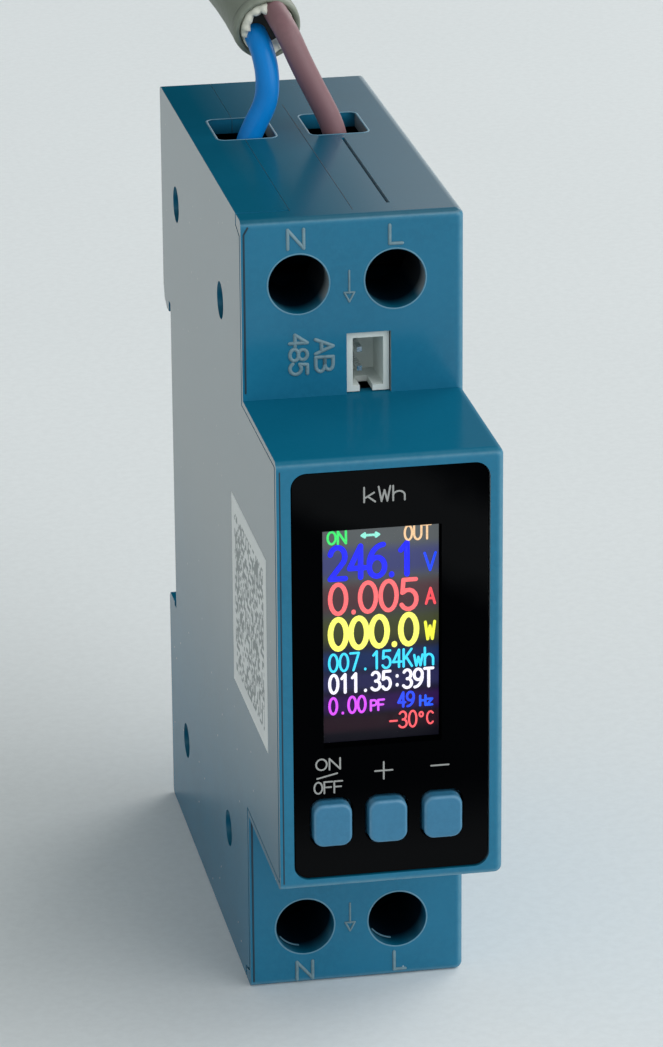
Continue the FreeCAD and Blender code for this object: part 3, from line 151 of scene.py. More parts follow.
# Shaders
class ShaderTree:
    """A node tree under construction, for a material or a group."""

    # Numbers of the colour sockets of a Mix node, since its other sockets share their names
    MIX_COLOURS, MIX_RESULT = (6, 7), 2

    def __init__(self, tree: bpy.types.NodeTree):
        self.tree = tree

    def add(self, kind: str, settings: Optional[dict] = None, **inputs) -> bpy.types.Node:
        """Adds a node, sets its properties and fills or links its inputs.

        Args:
            kind: The node's type without the ShaderNode prefix.
            settings: Properties of the node, such as its operation.
            **inputs: Input sockets by name or, as i0 and i1, by number.

        Returns:
            The new node.
        """
        node = self.tree.nodes.new("ShaderNode" + kind)
        for name, value in (settings or {}).items():
            setattr(node, name, value)
        for name, value in inputs.items():
            key = int(name[1:]) if name[0] == "i" and name[1:].isdigit() else name.replace("_", " ")
            self.feed(node.inputs[key], value)
        return node

    def feed(self, socket: bpy.types.NodeSocket, value) -> None:
        """Links a socket to another one, or sets it to a plain value."""
        if isinstance(value, bpy.types.NodeSocket):
            self.tree.links.new(value, socket)
        else:
            socket.default_value = value

    def math(self, operation: str, first, second=0.0, clamp: bool = False) -> bpy.types.NodeSocket:
        """Adds a maths node and gives its result."""
        node = self.add("Math", {"operation": operation, "use_clamp": clamp}, i0=first, i1=second)
        return node.outputs[0]

    def ramp(self, value, low: float, high: float, start: float = 0.0, end: float = 1.0):
        """Maps a span of a value onto another, smoothly and with hard limits."""
        node = self.add("MapRange", {"interpolation_type": "SMOOTHSTEP"}, Value=value,
                        From_Min=low, From_Max=high, To_Min=start, To_Max=end)
        return node.outputs["Result"]

    def blend(self, share, first, second) -> bpy.types.NodeSocket:
        """Mixes two colours."""
        node = self.add("Mix", {"data_type": "RGBA", "clamp_factor": True})
        self.feed(node.inputs["Factor"], share)
        for number, value in zip(self.MIX_COLOURS, (first, second)):
            linked = isinstance(value, bpy.types.NodeSocket)
            self.feed(node.inputs[number], value if linked else (*value, 1.0))
        return node.outputs[self.MIX_RESULT]

    def times(self, first, second) -> bpy.types.NodeSocket:
        """Multiplies two values."""
        return self.math("MULTIPLY", first, second)

    def parts(self, vector) -> Sequence[bpy.types.NodeSocket]:
        """Gives the three parts of a vector."""
        return self.add("SeparateXYZ", i0=vector).outputs

    def group(self, name: str, **inputs) -> bpy.types.Node:
        """Adds one of the shared node groups."""
        return self.add("Group", {"node_tree": bpy.data.node_groups[name]}, **inputs)

    def place_in_mm(self) -> bpy.types.NodeSocket:
        """Gives the place on the object, in millimetres."""
        here = self.add("TexCoord").outputs["Object"]
        return self.add("VectorMath", {"operation": "SCALE"}, i0=here, Scale=1 / MM).outputs["Vector"]


def new_material(name: str) -> tuple[bpy.types.Material, ShaderTree, bpy.types.Node]:
    """Starts a node-based material.

    Args:
        name: Name of the material.

    Returns:
        The material, its tree and its main shader.
    """
    material = bpy.data.materials.new(name)
    material.use_nodes = True
    return material, ShaderTree(material.node_tree), material.node_tree.nodes["Principled BSDF"]


class Groups:
    """The node groups that the materials share."""

    GRAIN = "fine_grain"
    WEAR_AND_HIGHLIGHT = "edge_wear_and_highlight"
    DUST = "dust_specks"
    DEPTH = "inner_shade"
    UPPER = "upper_faces"
    SLOPE_TO_ROOF = (66.0, 81.0)
    PLAIN_POLISH = 0.65

    @classmethod
    def make(cls) -> None:
        """Builds every shared group once."""
        for build in (cls._grain, cls._wear_and_highlight, cls._dust, cls._depth, cls._upper):
            build()

    @staticmethod
    def _start(name: str, inputs: dict, outputs: Sequence[str]):
        """Starts a group of float sockets and gives its tree, its inputs' values and its outputs."""
        tree = bpy.data.node_groups.new(name, "ShaderNodeTree")
        for label, value in inputs.items():
            socket = tree.interface.new_socket(label, in_out="INPUT", socket_type="NodeSocketFloat")
            socket.default_value = value
        for label in outputs:
            tree.interface.new_socket(label, in_out="OUTPUT", socket_type="NodeSocketFloat")
        source, sink = tree.nodes.new("NodeGroupInput"), tree.nodes.new("NodeGroupOutput")
        return ShaderTree(tree), source.outputs, sink.inputs

    @classmethod
    def _grain(cls) -> None:
        """Fine moulded grain: a height, a slow tone and a finer tone."""
        shader, source, sink = cls._start(cls.GRAIN, {"Size": 0.25}, ("Height", "Tone", "Fleck"))
        here = shader.place_in_mm()
        inverse = shader.math("DIVIDE", 1.0, source["Size"])
        noise = shader.add("TexNoise", Vector=here, Scale=inverse, Detail=3.0, Roughness=0.62)
        slow = shader.add("TexNoise", Vector=here, Scale=0.11, Detail=2.0, Roughness=0.5)
        fine = shader.add("TexNoise", Vector=here, Scale=1.6, Detail=2.0, Roughness=0.7)
        shader.feed(sink["Height"], noise.outputs[0])
        shader.feed(sink["Tone"], shader.ramp(slow.outputs[0], 0.35, 0.65))
        shader.feed(sink["Fleck"], shader.ramp(fine.outputs[0], 0.36, 0.68))

    @classmethod
    def _wear_and_highlight(cls) -> None:
        """A mask of the rounded edges, told by normals that lie between the axes, for rubbed edges and a
        painted edge highlight.
        """
        shader, source, sink = cls._start(cls.WEAR_AND_HIGHLIGHT, {"Reach": 0.1}, ("Mask",))
        normal = shader.add("TexCoord").outputs["Normal"]
        size = shader.add("VectorMath", {"operation": "ABSOLUTE"}, i0=normal)
        side, deep, up = shader.parts(size.outputs[0])
        top = shader.math("MAXIMUM", shader.math("MAXIMUM", side, deep), up)
        noise = shader.add("TexNoise", Vector=shader.place_in_mm(), Scale=0.9, Detail=4.0, Roughness=0.7)
        raw = shader.math("DIVIDE", shader.math("SUBTRACT", 1.0, top), source["Reach"], clamp=True)
        shader.feed(sink["Mask"], shader.times(raw, shader.ramp(noise.outputs[0], 0.2, 0.62, 0.45, 1.0)))

    @classmethod
    def _upper(cls) -> None:
        """The faces that look up, for painted shade, their polish from left to right, and a painted sheen on
        the left side.
        """
        shader, source, sink = cls._start(cls.UPPER, {"Wide": 14.0}, ("Mask", "Polish", "PaintedSheen", "Roof"))
        sideways, _, up = shader.parts(shader.add("TexCoord").outputs["Normal"])
        across, _, height = shader.parts(shader.place_in_mm())
        painted_light = shader.times(shader.ramp(sideways, -0.7, -0.95), shader.ramp(height, 4.0, 50.0))
        shader.feed(sink["PaintedSheen"], painted_light)
        share = shader.math("ADD", shader.math("DIVIDE", across, source["Wide"]), 0.64, clamp=True)
        share = shader.times(share, shader.ramp(height, *cls.SLOPE_TO_ROOF, 0.15, 1.0))
        shader.feed(sink["Roof"], shader.ramp(height, *cls.SLOPE_TO_ROOF))
        mask = shader.ramp(up, 0.35, 0.75)
        shader.feed(sink["Mask"], mask)
        dull = shader.times(mask, shader.math("SUBTRACT", cls.PLAIN_POLISH, share))
        shader.feed(sink["Polish"], shader.math("SUBTRACT", cls.PLAIN_POLISH, dull))

    @classmethod
    def _dust(cls) -> None:
        """Sparse bright specks of dust."""
        shader, source, sink = cls._start(cls.DUST, {"Share": 0.5}, ("Mask",))
        cells = shader.add("TexVoronoi", Vector=shader.place_in_mm(), Scale=0.62)
        dot = shader.ramp(cells.outputs["Distance"], 0.035, 0.085, 1.0, 0.0)
        pick = shader.add("SeparateColor", i0=cells.outputs["Color"]).outputs[0]
        shader.feed(sink["Mask"], shader.times(dot, shader.math("LESS_THAN", pick, source["Share"])))

    @classmethod
    def _depth(cls) -> None:
        """A mask that grows with the depth below the outer faces of the case."""
        shader, source, sink = cls._start(cls.DEPTH, {"Reach": 2.4}, ("Mask",))
        x, y, z = shader.parts(shader.place_in_mm())
        side = shader.math("SUBTRACT", CASE_HALF_WIDE, shader.math("ABSOLUTE", x))
        rear = shader.math("SUBTRACT", CASE_REAR, y)
        depths = []
        for front, low, high in ((SHOULDER_FRONT, 0.0, CASE_TALL), (BLOCK_FRONT, BLOCK_FOOT, BLOCK_HEAD)):
            least = shader.math("MINIMUM", side, rear)
            for face in (shader.math("SUBTRACT", y, front), shader.math("SUBTRACT", z, low),
                         shader.math("SUBTRACT", high, z)):
                least = shader.math("MINIMUM", least, face)
            depths.append(least)
        deepest = shader.math("MAXIMUM", *depths)
        share = shader.math("DIVIDE", shader.math("SUBTRACT", deepest, 0.3), source["Reach"], clamp=True)
        shader.feed(sink["Mask"], share)


@dataclass(frozen=True)
class Finish:
    """How one kind of material looks.

    Sizes are in millimetres, colours are linear.
    """

    name: str
    colour: Colour
    roughness: float = 0.5
    metallic: float = 0.0
    grain: float = 0.3
    bump: float = 0.05
    tone: float = 0.08
    fleck: float = 0.06
    worn_and_lit: Optional[Colour] = None
    wear_and_highlight: float = 0.0
    wear_and_highlight_reach: float = 0.12
    dust: float = 0.0
    coat: float = 0.0
    specular: float = 0.5
    streaks: Optional[int] = None
    coat_rough: float = 0.1
    painted_hollow_shade: float = 0.0

    def make(self) -> bpy.types.Material:
        """Builds the node-based material.

        Returns:
            The material, ready to be given to a piece.
        """
        material, shader, bsdf = new_material(self.name)
        set_values(bsdf, Metallic=self.metallic, Coat_Weight=self.coat, Coat_Roughness=self.coat_rough,
                   IOR=1.5, Specular_IOR_Level=self.specular)
        grain = shader.group(Groups.GRAIN, Size=self.grain).outputs
        height = grain["Height"] if self.streaks is None else self._brushed(shader)
        darker = tuple(c * (1 - self.tone) for c in self.colour)
        lighter = tuple(min(1.0, c * (1 + self.tone)) for c in self.colour)
        colour = shader.blend(grain["Tone"], darker, lighter)
        flecked = tuple(min(1.0, c * (1 + self.fleck) + self.fleck * 0.02) for c in self.colour)
        colour = shader.blend(shader.times(grain["Fleck"], 0.6), colour, flecked)
        rough = shader.ramp(grain["Fleck"], 0.0, 1.0, self.roughness - 0.04, self.roughness + 0.05)
        # Rubbed edges and painted highlight: rounded edges are blended towards a lighter colour.
        if self.wear_and_highlight:
            worn_and_lit = shader.group(Groups.WEAR_AND_HIGHLIGHT, Reach=self.wear_and_highlight_reach).outputs["Mask"]
            colour = shader.blend(shader.times(worn_and_lit, self.wear_and_highlight), colour, self.worn_and_lit or lighter)
        if self.dust:
            dust = shader.group(Groups.DUST, Share=self.dust).outputs["Mask"]
            colour = shader.blend(dust, colour, (0.62, 0.68, 0.7))
            rough = shader.math("ADD", rough, shader.times(dust, 0.3))
        if self.painted_hollow_shade:
            colour = self._shaded(shader, bsdf, colour)
        shader.feed(bsdf.inputs["Base Color"], colour)
        shader.feed(bsdf.inputs["Roughness"], rough)
        if self.bump:
            bump = shader.add("Bump", Height=height, Strength=1.0, Distance=self.bump * MM)
            shader.feed(bsdf.inputs["Normal"], bump.outputs[0])
        return material

    def _shaded(self, shader: ShaderTree, bsdf: bpy.types.Node, colour) -> bpy.types.NodeSocket:
        """Painted shade on the upward faces, a painted sheen on the pale left side and painted shade in the
        hollows, with a coat to match.
        """
        depth = shader.group(Groups.DEPTH).outputs["Mask"]
        upper = shader.group(Groups.UPPER).outputs
        # Painted shade: faces that look up are blended towards a deeper teal, darkest on the roof.
        roof = shader.blend(upper["Roof"], (0.0, 0.118, 0.205), (0.0, 0.064, 0.104))
        colour = shader.blend(shader.times(upper["Mask"], 0.65), colour, roof)
        # Painted sheen: the left side is blended towards pale grey, fading out towards the bottom.
        colour = shader.blend(shader.times(upper["PaintedSheen"], 0.72), colour, (0.43, 0.445, 0.42))
        # Painted shade: the deep hollows of the case are blended towards near black.
        colour = shader.blend(shader.times(depth, self.painted_hollow_shade), colour, (0.001, 0.002, 0.006))
        clear = shader.times(shader.math("SUBTRACT", 1.0, depth, clamp=True), upper["Polish"])
        shader.feed(bsdf.inputs["Coat Weight"], shader.times(clear, self.coat))
        return colour

    def _brushed(self, shader: ShaderTree) -> bpy.types.NodeSocket:
        """Long fine streaks along one axis."""
        stretch = [9.0, 9.0, 9.0]
        stretch[self.streaks] = 0.35
        here = shader.add("VectorMath", {"operation": "MULTIPLY"}, i0=shader.place_in_mm(), i1=stretch)
        return shader.add("TexNoise", Vector=here.outputs[0], Scale=1.0, Detail=2.0).outputs[0]


CASE_BLUE = from_screen(28, 110, 143)
KEY_BLUE = from_screen(52, 117, 152)
FINISHES = (
    Finish("case_plastic", CASE_BLUE, 0.45, grain=0.1, bump=0.005, tone=0.04, fleck=0.08, specular=0.0,
           worn_and_lit=from_screen(98, 150, 172), wear_and_highlight=0.55, dust=0.035, coat=1.0, coat_rough=0.17, painted_hollow_shade=0.93),
    Finish("key_plastic", KEY_BLUE, 0.42, grain=0.1, bump=0.006, tone=0.04, fleck=0.1, specular=0.25,
           worn_and_lit=from_screen(112, 160, 190), wear_and_highlight=0.5, wear_and_highlight_reach=0.2, coat=0.3, coat_rough=0.25),
    Finish("black_print", (0.006, 0.006, 0.007), 0.5, bump=0.003, grain=0.4),
    Finish("black_plastic", from_screen(38, 38, 40), 0.45, grain=0.2, bump=0.01),
    Finish("switch_steel", (0.62, 0.63, 0.65), 0.3, metallic=1.0, bump=0.004, streaks=0),
    Finish("display_glass", (0.03, 0.03, 0.035), 0.08, bump=0.001, grain=2.0, coat=0.3),
    Finish("backlight_plastic", (0.8, 0.8, 0.8), 0.3, bump=0.004),
    Finish("foam", (0.03, 0.03, 0.032), 0.9, grain=0.5, bump=0.12, fleck=0.3),
    Finish("ribbon_film", from_screen(190, 120, 40), 0.35, grain=0.6, bump=0.01),
    Finish("circuit_board", from_screen(18, 92, 52), 0.35, grain=0.5, bump=0.02, tone=0.2, coat=0.2),
    Finish("capacitor_can", from_screen(70, 74, 84), 0.35, bump=0.01, grain=0.6),
    Finish("film_capacitor", from_screen(205, 170, 50), 0.4, bump=0.01),
    Finish("varistor", from_screen(40, 90, 170), 0.35, bump=0.03, grain=0.9),
    Finish("resistor", from_screen(120, 140, 110), 0.4, bump=0.02, grain=0.8),
    Finish("gilt_pin", (0.83, 0.65, 0.3), 0.3, metallic=1.0, bump=0.004, streaks=0),
    Finish("relay_plastic", from_screen(36, 37, 40), 0.35, bump=0.01),
    Finish("copper", (0.83, 0.42, 0.24), 0.3, metallic=1.0, bump=0.02, grain=0.35),
    Finish("bobbin_plastic", from_screen(214, 210, 196), 0.5, bump=0.01),
    Finish("iron", (0.5, 0.5, 0.5), 0.35, metallic=1.0, bump=0.01, streaks=2),
    Finish("contact_silver", (0.8, 0.8, 0.8), 0.25, metallic=1.0, bump=0.01, grain=0.3),
    Finish("brass", (0.78, 0.58, 0.26), 0.3, metallic=1.0, bump=0.008, streaks=2),
    Finish("shunt_alloy", (0.5, 0.36, 0.28), 0.4, metallic=1.0, bump=0.01, streaks=2),
    Finish("zinc_steel", (0.6, 0.61, 0.63), 0.34, metallic=1.0, bump=0.01, grain=0.5),
    Finish("connector_plastic", from_screen(214, 222, 218), 0.42, grain=0.3, bump=0.01, tone=0.05),
    Finish("latch_plastic", CASE_BLUE, 0.45, grain=0.16, bump=0.012, worn_and_lit=from_screen(98, 150, 172),
           wear_and_highlight=0.4),
    Finish("spring_steel", (0.58, 0.58, 0.6), 0.28, metallic=1.0, bump=0.004, grain=0.2),
    Finish("blue_insulation", from_screen(0, 126, 206), 0.4, grain=0.5, bump=0.01, tone=0.06, specular=0.1,
           coat=0.25, coat_rough=0.2),
    Finish("brown_insulation", from_screen(130, 96, 101), 0.46, grain=0.5, bump=0.016, tone=0.1, dust=0.08),
    Finish("sheath", from_screen(124, 131, 118), 0.5, grain=0.7, bump=0.03, tone=0.04),
    Finish("sheath_cut", from_screen(214, 216, 204), 0.7, grain=0.35, bump=0.12, tone=0.06, fleck=0.1),
    Finish("plug_plastic", from_screen(200, 202, 194), 0.45, grain=0.4, bump=0.012, tone=0.03),
    Finish("plug_pin_brass", (0.76, 0.74, 0.68), 0.22, metallic=1.0, bump=0.003, streaks=1),
    Finish("mark_paint", from_screen(106, 136, 147), 0.6, grain=0.2, bump=0.02, tone=0.12, fleck=0.3),
    Finish("print_grey", from_screen(150, 152, 150), 0.6, bump=0.0, grain=0.4),
    # Painted highlights: the pale rims of the slots and holes and the glints inside the holes.
    Finish("rim_light", from_screen(84, 136, 160), 0.4, grain=0.2, bump=0.01, coat=0.5),
    Finish("pin_silver", (0.75, 0.76, 0.78), 0.25, metallic=1.0, bump=0.003, streaks=1),
    Finish("seam_dark", from_screen(12, 46, 64), 0.6, grain=0.2, bump=0.01),
    # Painted shade: the dark disc inside the cable's cut end.
    Finish("sheath_hollow", from_screen(40, 42, 38), 0.8, grain=0.4, bump=0.05),
)


class MaterialShelf:
    """Every material of the scene, by name."""

    PICTURE_MIDDLE, PICTURE_REACH = (-0.85, 45.65), (5.9, 11.35)
    LABEL_MIDDLE, LABEL_REACH, LABEL_CELL = (-18.75, 41.85), 8.6, 0.46

    def __init__(self) -> None:
        Groups.make()
        self._made = {finish.name: finish.make() for finish in FINISHES}
        self._made["label_film"] = self._label()
        self._made["window_plastic"] = self._window()

    def __getitem__(self, name: str) -> bpy.types.Material:
        return self._made[name]

    def glow(self, name: str, colour: Colour, strength: float) -> bpy.types.Material:
        """A lit stroke of the display."""
        if name not in self._made:
            material, shader, bsdf = new_material(name)
            set_values(bsdf, Base_Color=(0.01, 0.01, 0.01, 1), Roughness=0.6, Emission_Strength=strength)
            dots = shader.add("TexNoise", Vector=shader.place_in_mm(), Scale=9.0, Detail=1.0)
            share = shader.ramp(dots.outputs[0], 0.3, 0.7)
            dim = tuple(c * 0.82 for c in colour)
            shader.feed(bsdf.inputs["Emission Color"], shader.blend(share, dim, colour))
            self._made[name] = material
        return self._made[name]

    def _window(self) -> bpy.types.Material:
        """Gloss over black, clear in front of the picture, with a soft slanted reflection."""
        material, shader, bsdf = new_material("window_plastic")
        set_values(bsdf, Specular_IOR_Level=0.0, Coat_Roughness=0.05, Roughness=0.4)
        here = shader.place_in_mm()
        across, _, height = shader.parts(here)
        clear = 0.985
        for value, middle, reach in zip((across, height), self.PICTURE_MIDDLE, self.PICTURE_REACH):
            away = shader.math("ABSOLUTE", shader.math("SUBTRACT", value, middle))
            clear = shader.times(shader.math("LESS_THAN", away, reach), clear)
        shader.feed(bsdf.inputs["Alpha"], shader.math("SUBTRACT", 1.0, clear))
        noise = shader.add("TexNoise", Vector=here, Scale=0.16, Detail=2.0, Roughness=0.5)
        slant = shader.math("ADD", shader.times(across, 0.55), height)
        wavy = shader.math("ADD", slant, shader.times(noise.outputs[0], 5.0))
        upper = shader.times(shader.ramp(wavy, 55.0, 60.0), shader.ramp(wavy, 70.0, 64.0))
        lower = shader.times(shader.ramp(height, 31.0, 22.0), 0.55)
        sheen = shader.times(shader.math("ADD", shader.times(upper, 0.62), lower), 0.24)
        shader.feed(bsdf.inputs["Coat Weight"], shader.math("ADD", sheen, 0.006, clamp=True))
        dust = shader.group(Groups.DUST, Share=0.07).outputs["Mask"]
        speck = shader.times(dust, shader.ramp(height, 40.0, 33.0))
        colour = shader.blend(speck, (0.0008, 0.001, 0.0014), (0.3, 0.36, 0.38))
        shader.feed(bsdf.inputs["Base Color"], colour)
        return material

    def _label(self) -> bpy.types.Material:
        """A pale film with a meaningless fine pattern of squares in its middle."""
        material, shader, bsdf = new_material("label_film")
        set_values(bsdf, Roughness=0.5)
        here = shader.place_in_mm()
        steps = (100.0, self.LABEL_CELL, self.LABEL_CELL)
        snap = shader.add("VectorMath", {"operation": "SNAP"}, i0=here, i1=steps)
        cell = shader.add("TexWhiteNoise", i0=snap.outputs[0])
        dark = shader.math("GREATER_THAN", cell.outputs["Value"], 0.5)
        _, depth, height = shader.parts(here)
        for value, middle in zip((depth, height), self.LABEL_MIDDLE):
            away = shader.math("ABSOLUTE", shader.math("SUBTRACT", value, middle))
            dark = shader.times(dark, shader.math("LESS_THAN", away, self.LABEL_REACH))
        colour = shader.blend(dark, from_screen(246, 250, 249), from_screen(160, 167, 168))
        shader.feed(bsdf.inputs["Base Color"], colour)
        return material


# Strokes, letters and signs
def arc(x: float, z: float, wide: float, tall: float, start: float, end: float,
        steps: int = 12) -> list[Flat]:
    """Points along an ellipse, with angles in degrees."""
    turns = [math.radians(start + (end - start) * i / steps) for i in range(steps + 1)]
    return [(x + wide * math.cos(t), z + tall * math.sin(t)) for t in turns]


def oval(x0: float, z0: float, x1: float, z1: float) -> list[Flat]:
    """A closed tall oval with straight sides."""
    middle, half = (x0 + x1) / 2, (x1 - x0) / 2
    bend = min((z1 - z0) / 2, half * 1.15)
    top = arc(middle, z1 - bend, half, bend, 0, 180)
    bottom = arc(middle, z0 + bend, half, bend, 180, 360)
    return top + bottom + top[:2]


class StrokeFont:
    """Letters as strokes in a box one unit high and one wide."""

    GLYPHS: dict[str, list[list[Flat]]] = {
        "0": [oval(0, 0, 1, 1)],
        "1": [[(0.2, 0.78), (0.6, 1)], [(0.6, 1), (0.6, 0)]],
        "2": [arc(0.5, 0.7, 0.48, 0.3, 165, -35), [(0.9, 0.53), (0.02, 0)], [(0.02, 0), (1, 0)]],
        "3": [arc(0.45, 0.745, 0.45, 0.255, 150, -90), arc(0.45, 0.255, 0.53, 0.255, 90, -150)],
        "4": [[(0.72, 0), (0.72, 1)], [(0.72, 1), (0, 0.3)], [(0, 0.3), (1, 0.3)]],
        "5": [[(0.92, 1), (0.15, 1)], [(0.15, 1), (0.08, 0.56)], arc(0.46, 0.32, 0.5, 0.33, 130, -150)],
        "6": [oval(0, 0, 1, 0.6), arc(0.95, 0.38, 0.95, 0.62, 92, 175)],
        "7": [[(0, 1), (1, 1)], [(1, 1), (0.35, 0)]],
        "8": [oval(0.06, 0.48, 0.94, 1), oval(0, 0, 1, 0.5)],
        "9": [oval(0, 0.4, 1, 1), arc(0.05, 0.62, 0.95, 0.62, -88, -5)],
        ".": [[(0.5, 0.01), (0.5, 0.04)]],
        ":": [[(0.5, 0.18), (0.5, 0.22)], [(0.5, 0.68), (0.5, 0.72)]],
        "-": [[(0.05, 0.45), (0.95, 0.45)]],
        "A": [[(0, 0), (0.5, 1)], [(0.5, 1), (1, 0)], [(0.2, 0.34), (0.8, 0.34)]],
        "B": [[(0, 0), (0, 1)], [(0, 1), (0.5, 1)] + arc(0.5, 0.76, 0.4, 0.24, 90, -90) + [(0, 0.52)],
              [(0, 0.52), (0.55, 0.52)] + arc(0.55, 0.26, 0.45, 0.26, 90, -90) + [(0, 0)]],
        "C": [arc(0.58, 0.5, 0.58, 0.5, 45, 315)],
        "F": [[(0, 0), (0, 1)], [(0, 1), (1, 1)], [(0, 0.52), (0.85, 0.52)]],
        "H": [[(0, 0), (0, 1)], [(1, 0), (1, 1)], [(0, 0.5), (1, 0.5)]],
        "K": [[(0, 0), (0, 1)], [(0.95, 1), (0, 0.38)], [(0.3, 0.56), (1, 0)]],
        "L": [[(0, 1), (0, 0)], [(0, 0), (0.9, 0)]],
        "N": [[(0, 0), (0, 1)], [(0, 1), (1, 0)], [(1, 0), (1, 1)]],
        "O": [oval(0, 0, 1, 1)],
        "P": [[(0, 0), (0, 1)], [(0, 1), (0.5, 1)] + arc(0.5, 0.74, 0.5, 0.26, 90, -90) + [(0, 0.48)]],
        "T": [[(0, 1), (1, 1)], [(0.5, 1), (0.5, 0)]],
        "U": [[(0, 1), (0, 0.4)] + arc(0.5, 0.4, 0.5, 0.4, 180, 360) + [(1, 0.4), (1, 1)]],
        "V": [[(0, 1), (0.5, 0)], [(0.5, 0), (1, 1)]],
        "W": [[(0, 1), (0.25, 0)], [(0.25, 0), (0.5, 0.75)], [(0.5, 0.75), (0.75, 0)], [(0.75, 0), (1, 1)]],
        "h": [[(0, 0), (0, 1)], [(0, 0.3)] + arc(0.5, 0.32, 0.5, 0.3, 170, 0) + [(1, 0)]],
        "k": [[(0, 0), (0, 1)], [(0.85, 0.62), (0, 0.25)], [(0.3, 0.38), (0.95, 0)]],
        "w": [[(0, 0.62), (0.25, 0)], [(0.25, 0), (0.5, 0.5)], [(0.5, 0.5), (0.75, 0)],
              [(0.75, 0), (1, 0.62)]],
        "z": [[(0, 0.62), (1, 0.62)], [(1, 0.62), (0, 0)], [(0, 0), (1, 0)]],
        "o": [oval(0, 0.62, 0.6, 1)],
    }
    NARROW = {".": 0.45, ":": 0.6}

    @classmethod
    def write(cls, text: str, left: float, right: float, low: float, high: float,
              steady: bool = False, fill: float = 0.76) -> list[list[Flat]]:
        """Lays out a line of text between two edges.

        Args:
            text: What to write.
            left: Left edge of the first letter.
            right: Right edge of the last letter.
            low: Foot of the line.
            high: Top of the line.
            steady: Whether every sign takes the same room.
            fill: Share of its room that a letter is wide.

        Returns:
            The strokes.
        """
        rooms = [1.0 if steady else cls.NARROW.get(sign, 1.0) for sign in text]
        scale = (right - left) / (sum(rooms) - (1 - fill))
        strokes = []
        at = left
        for sign, room in zip(text, rooms):
            wide = fill * scale if room == 1.0 else room * scale * 0.6
            for stroke in cls.GLYPHS.get(sign, []):
                strokes.append([(at + x * wide, low + z * (high - low)) for x, z in stroke])
            at += room * scale
        return strokes


def join_rings(whole: bmesh.types.BMesh, rings: Sequence[Sequence[bmesh.types.BMVert]], capped: bool) -> None:
    """Closes the skin between rings of equal count, and the two ends where they are capped."""
    for one, two in zip(rings, rings[1:]):
        for k, spot in enumerate(one):
            onward = (k + 1) % len(one)
            whole.faces.new((spot, one[onward], two[onward], two[k]))
    if capped:
        whole.faces.new(rings[0][::-1])
        whole.faces.new(rings[-1])


class StrokeMaker:
    """Turns strokes into flat rounded ribs on the front of the object."""

    PROFILE = [(math.cos(math.radians(a)), math.sin(math.radians(a))) for a in range(0, 360, 45)]
    TIP = ((0.5, 0.87), (0.87, 0.5), (1.0, 0.05))
    SHARPEST_BEND = 0.6
    TOUCHING = 1e-6

    @classmethod
    def mesh(cls, name: str, strokes: Iterable[Sequence[Flat]], level: float, width: float, thick: float,
             lying: bool = False) -> bpy.types.Object:
        """Builds ribs along strokes in a plane across Y, or across Z if they lie.

        Args:
            name: Name of the new piece.
            strokes: Lines of (x, z) in millimetres.
            level: Y of the middle of the ribs, in millimetres.
            width: Width of a rib.
            thick: Thickness of a rib.
            lying: Whether the ribs lie on a face that looks up.

        Returns:
            The piece, with its place in its mesh.
        """
        whole = bmesh.new()
        for stroke in strokes:
            cls._rib(whole, stroke, level, width, thick)
        if lying:
            for vertex in whole.verts:
                x, height, along = vertex.co
                vertex.co = (x, along, -height)
        return new_piece(name, whole)

    @classmethod
    def _rib(cls, whole: bmesh.types.BMesh, stroke: Sequence[Flat], level: float, width: float,
             thick: float) -> None:
        """Adds one rib with round ends, or a closed one where the stroke's last two points are its first."""
        half = width / 2
        points = [Vector(p) for i, p in enumerate(stroke)
                  if not i or math.dist(p, stroke[i - 1]) > cls.TOUCHING]
        closed = len(points) > 4 and (points[0] - points[-2]).length < cls.TOUCHING
        if closed:
            points = points[:-2]
        outline: list[tuple[Vector, Vector]] = []
        count = len(points)
        for i, here in enumerate(points):
            ways = []
            if closed or i:
                ways.append((here - points[i - 1]).normalized())
            if closed or i + 1 < count:
                ways.append((points[(i + 1) % count] - here).normalized())
            way = sum(ways, Vector((0, 0))).normalized()
            side = Vector((-way.y, way.x))
            stretch = 1 / max(cls.SHARPEST_BEND, side.dot(Vector((-ways[0].y, ways[0].x))))
            outline.append((here, side * half * stretch))

        def ring(middle: Vector, side: Vector, shrink: float) -> list[bmesh.types.BMVert]:
            verts = []
            for across, up in cls.PROFILE:
                spot = middle + side * across * shrink
                height = level - up * thick / 2 * (0.35 + 0.65 * shrink)
                verts.append(whole.verts.new(Vector((spot.x, height, spot.y)) * MM))
            return verts

        def tip(end: int, inner: int) -> list[list[bmesh.types.BMVert]]:
            way = (points[end] - points[inner]).normalized() * half
            return [ring(points[end] + way * reach, outline[end][1], shrink) for reach, shrink in cls.TIP]

        first = [] if closed else tip(0, 1)[::-1]
        rings = first + [ring(here, side, 1.0) for here, side in outline]
        rings += [rings[0]] if closed else tip(-1, -2)
        join_rings(whole, rings, capped=not closed)


def put(piece: bpy.types.Object, body: str, material: bpy.types.Material) -> bpy.types.Object:
    """Gives a piece its material and its body."""
    piece.data.materials.clear()
    piece.data.materials.append(material)
    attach(piece, body)
    return piece


def new_piece(name: str, whole: bmesh.types.BMesh, smooth: bool = True) -> bpy.types.Object:
    """Links a bmesh as a new object at the origin."""
    bmesh.ops.recalc_face_normals(whole, faces=whole.faces)
    mesh = bpy.data.meshes.new(name)
    whole.to_mesh(mesh)
    whole.free()
    for face in mesh.polygons:
        face.use_smooth = smooth
    return add_object(name, mesh)


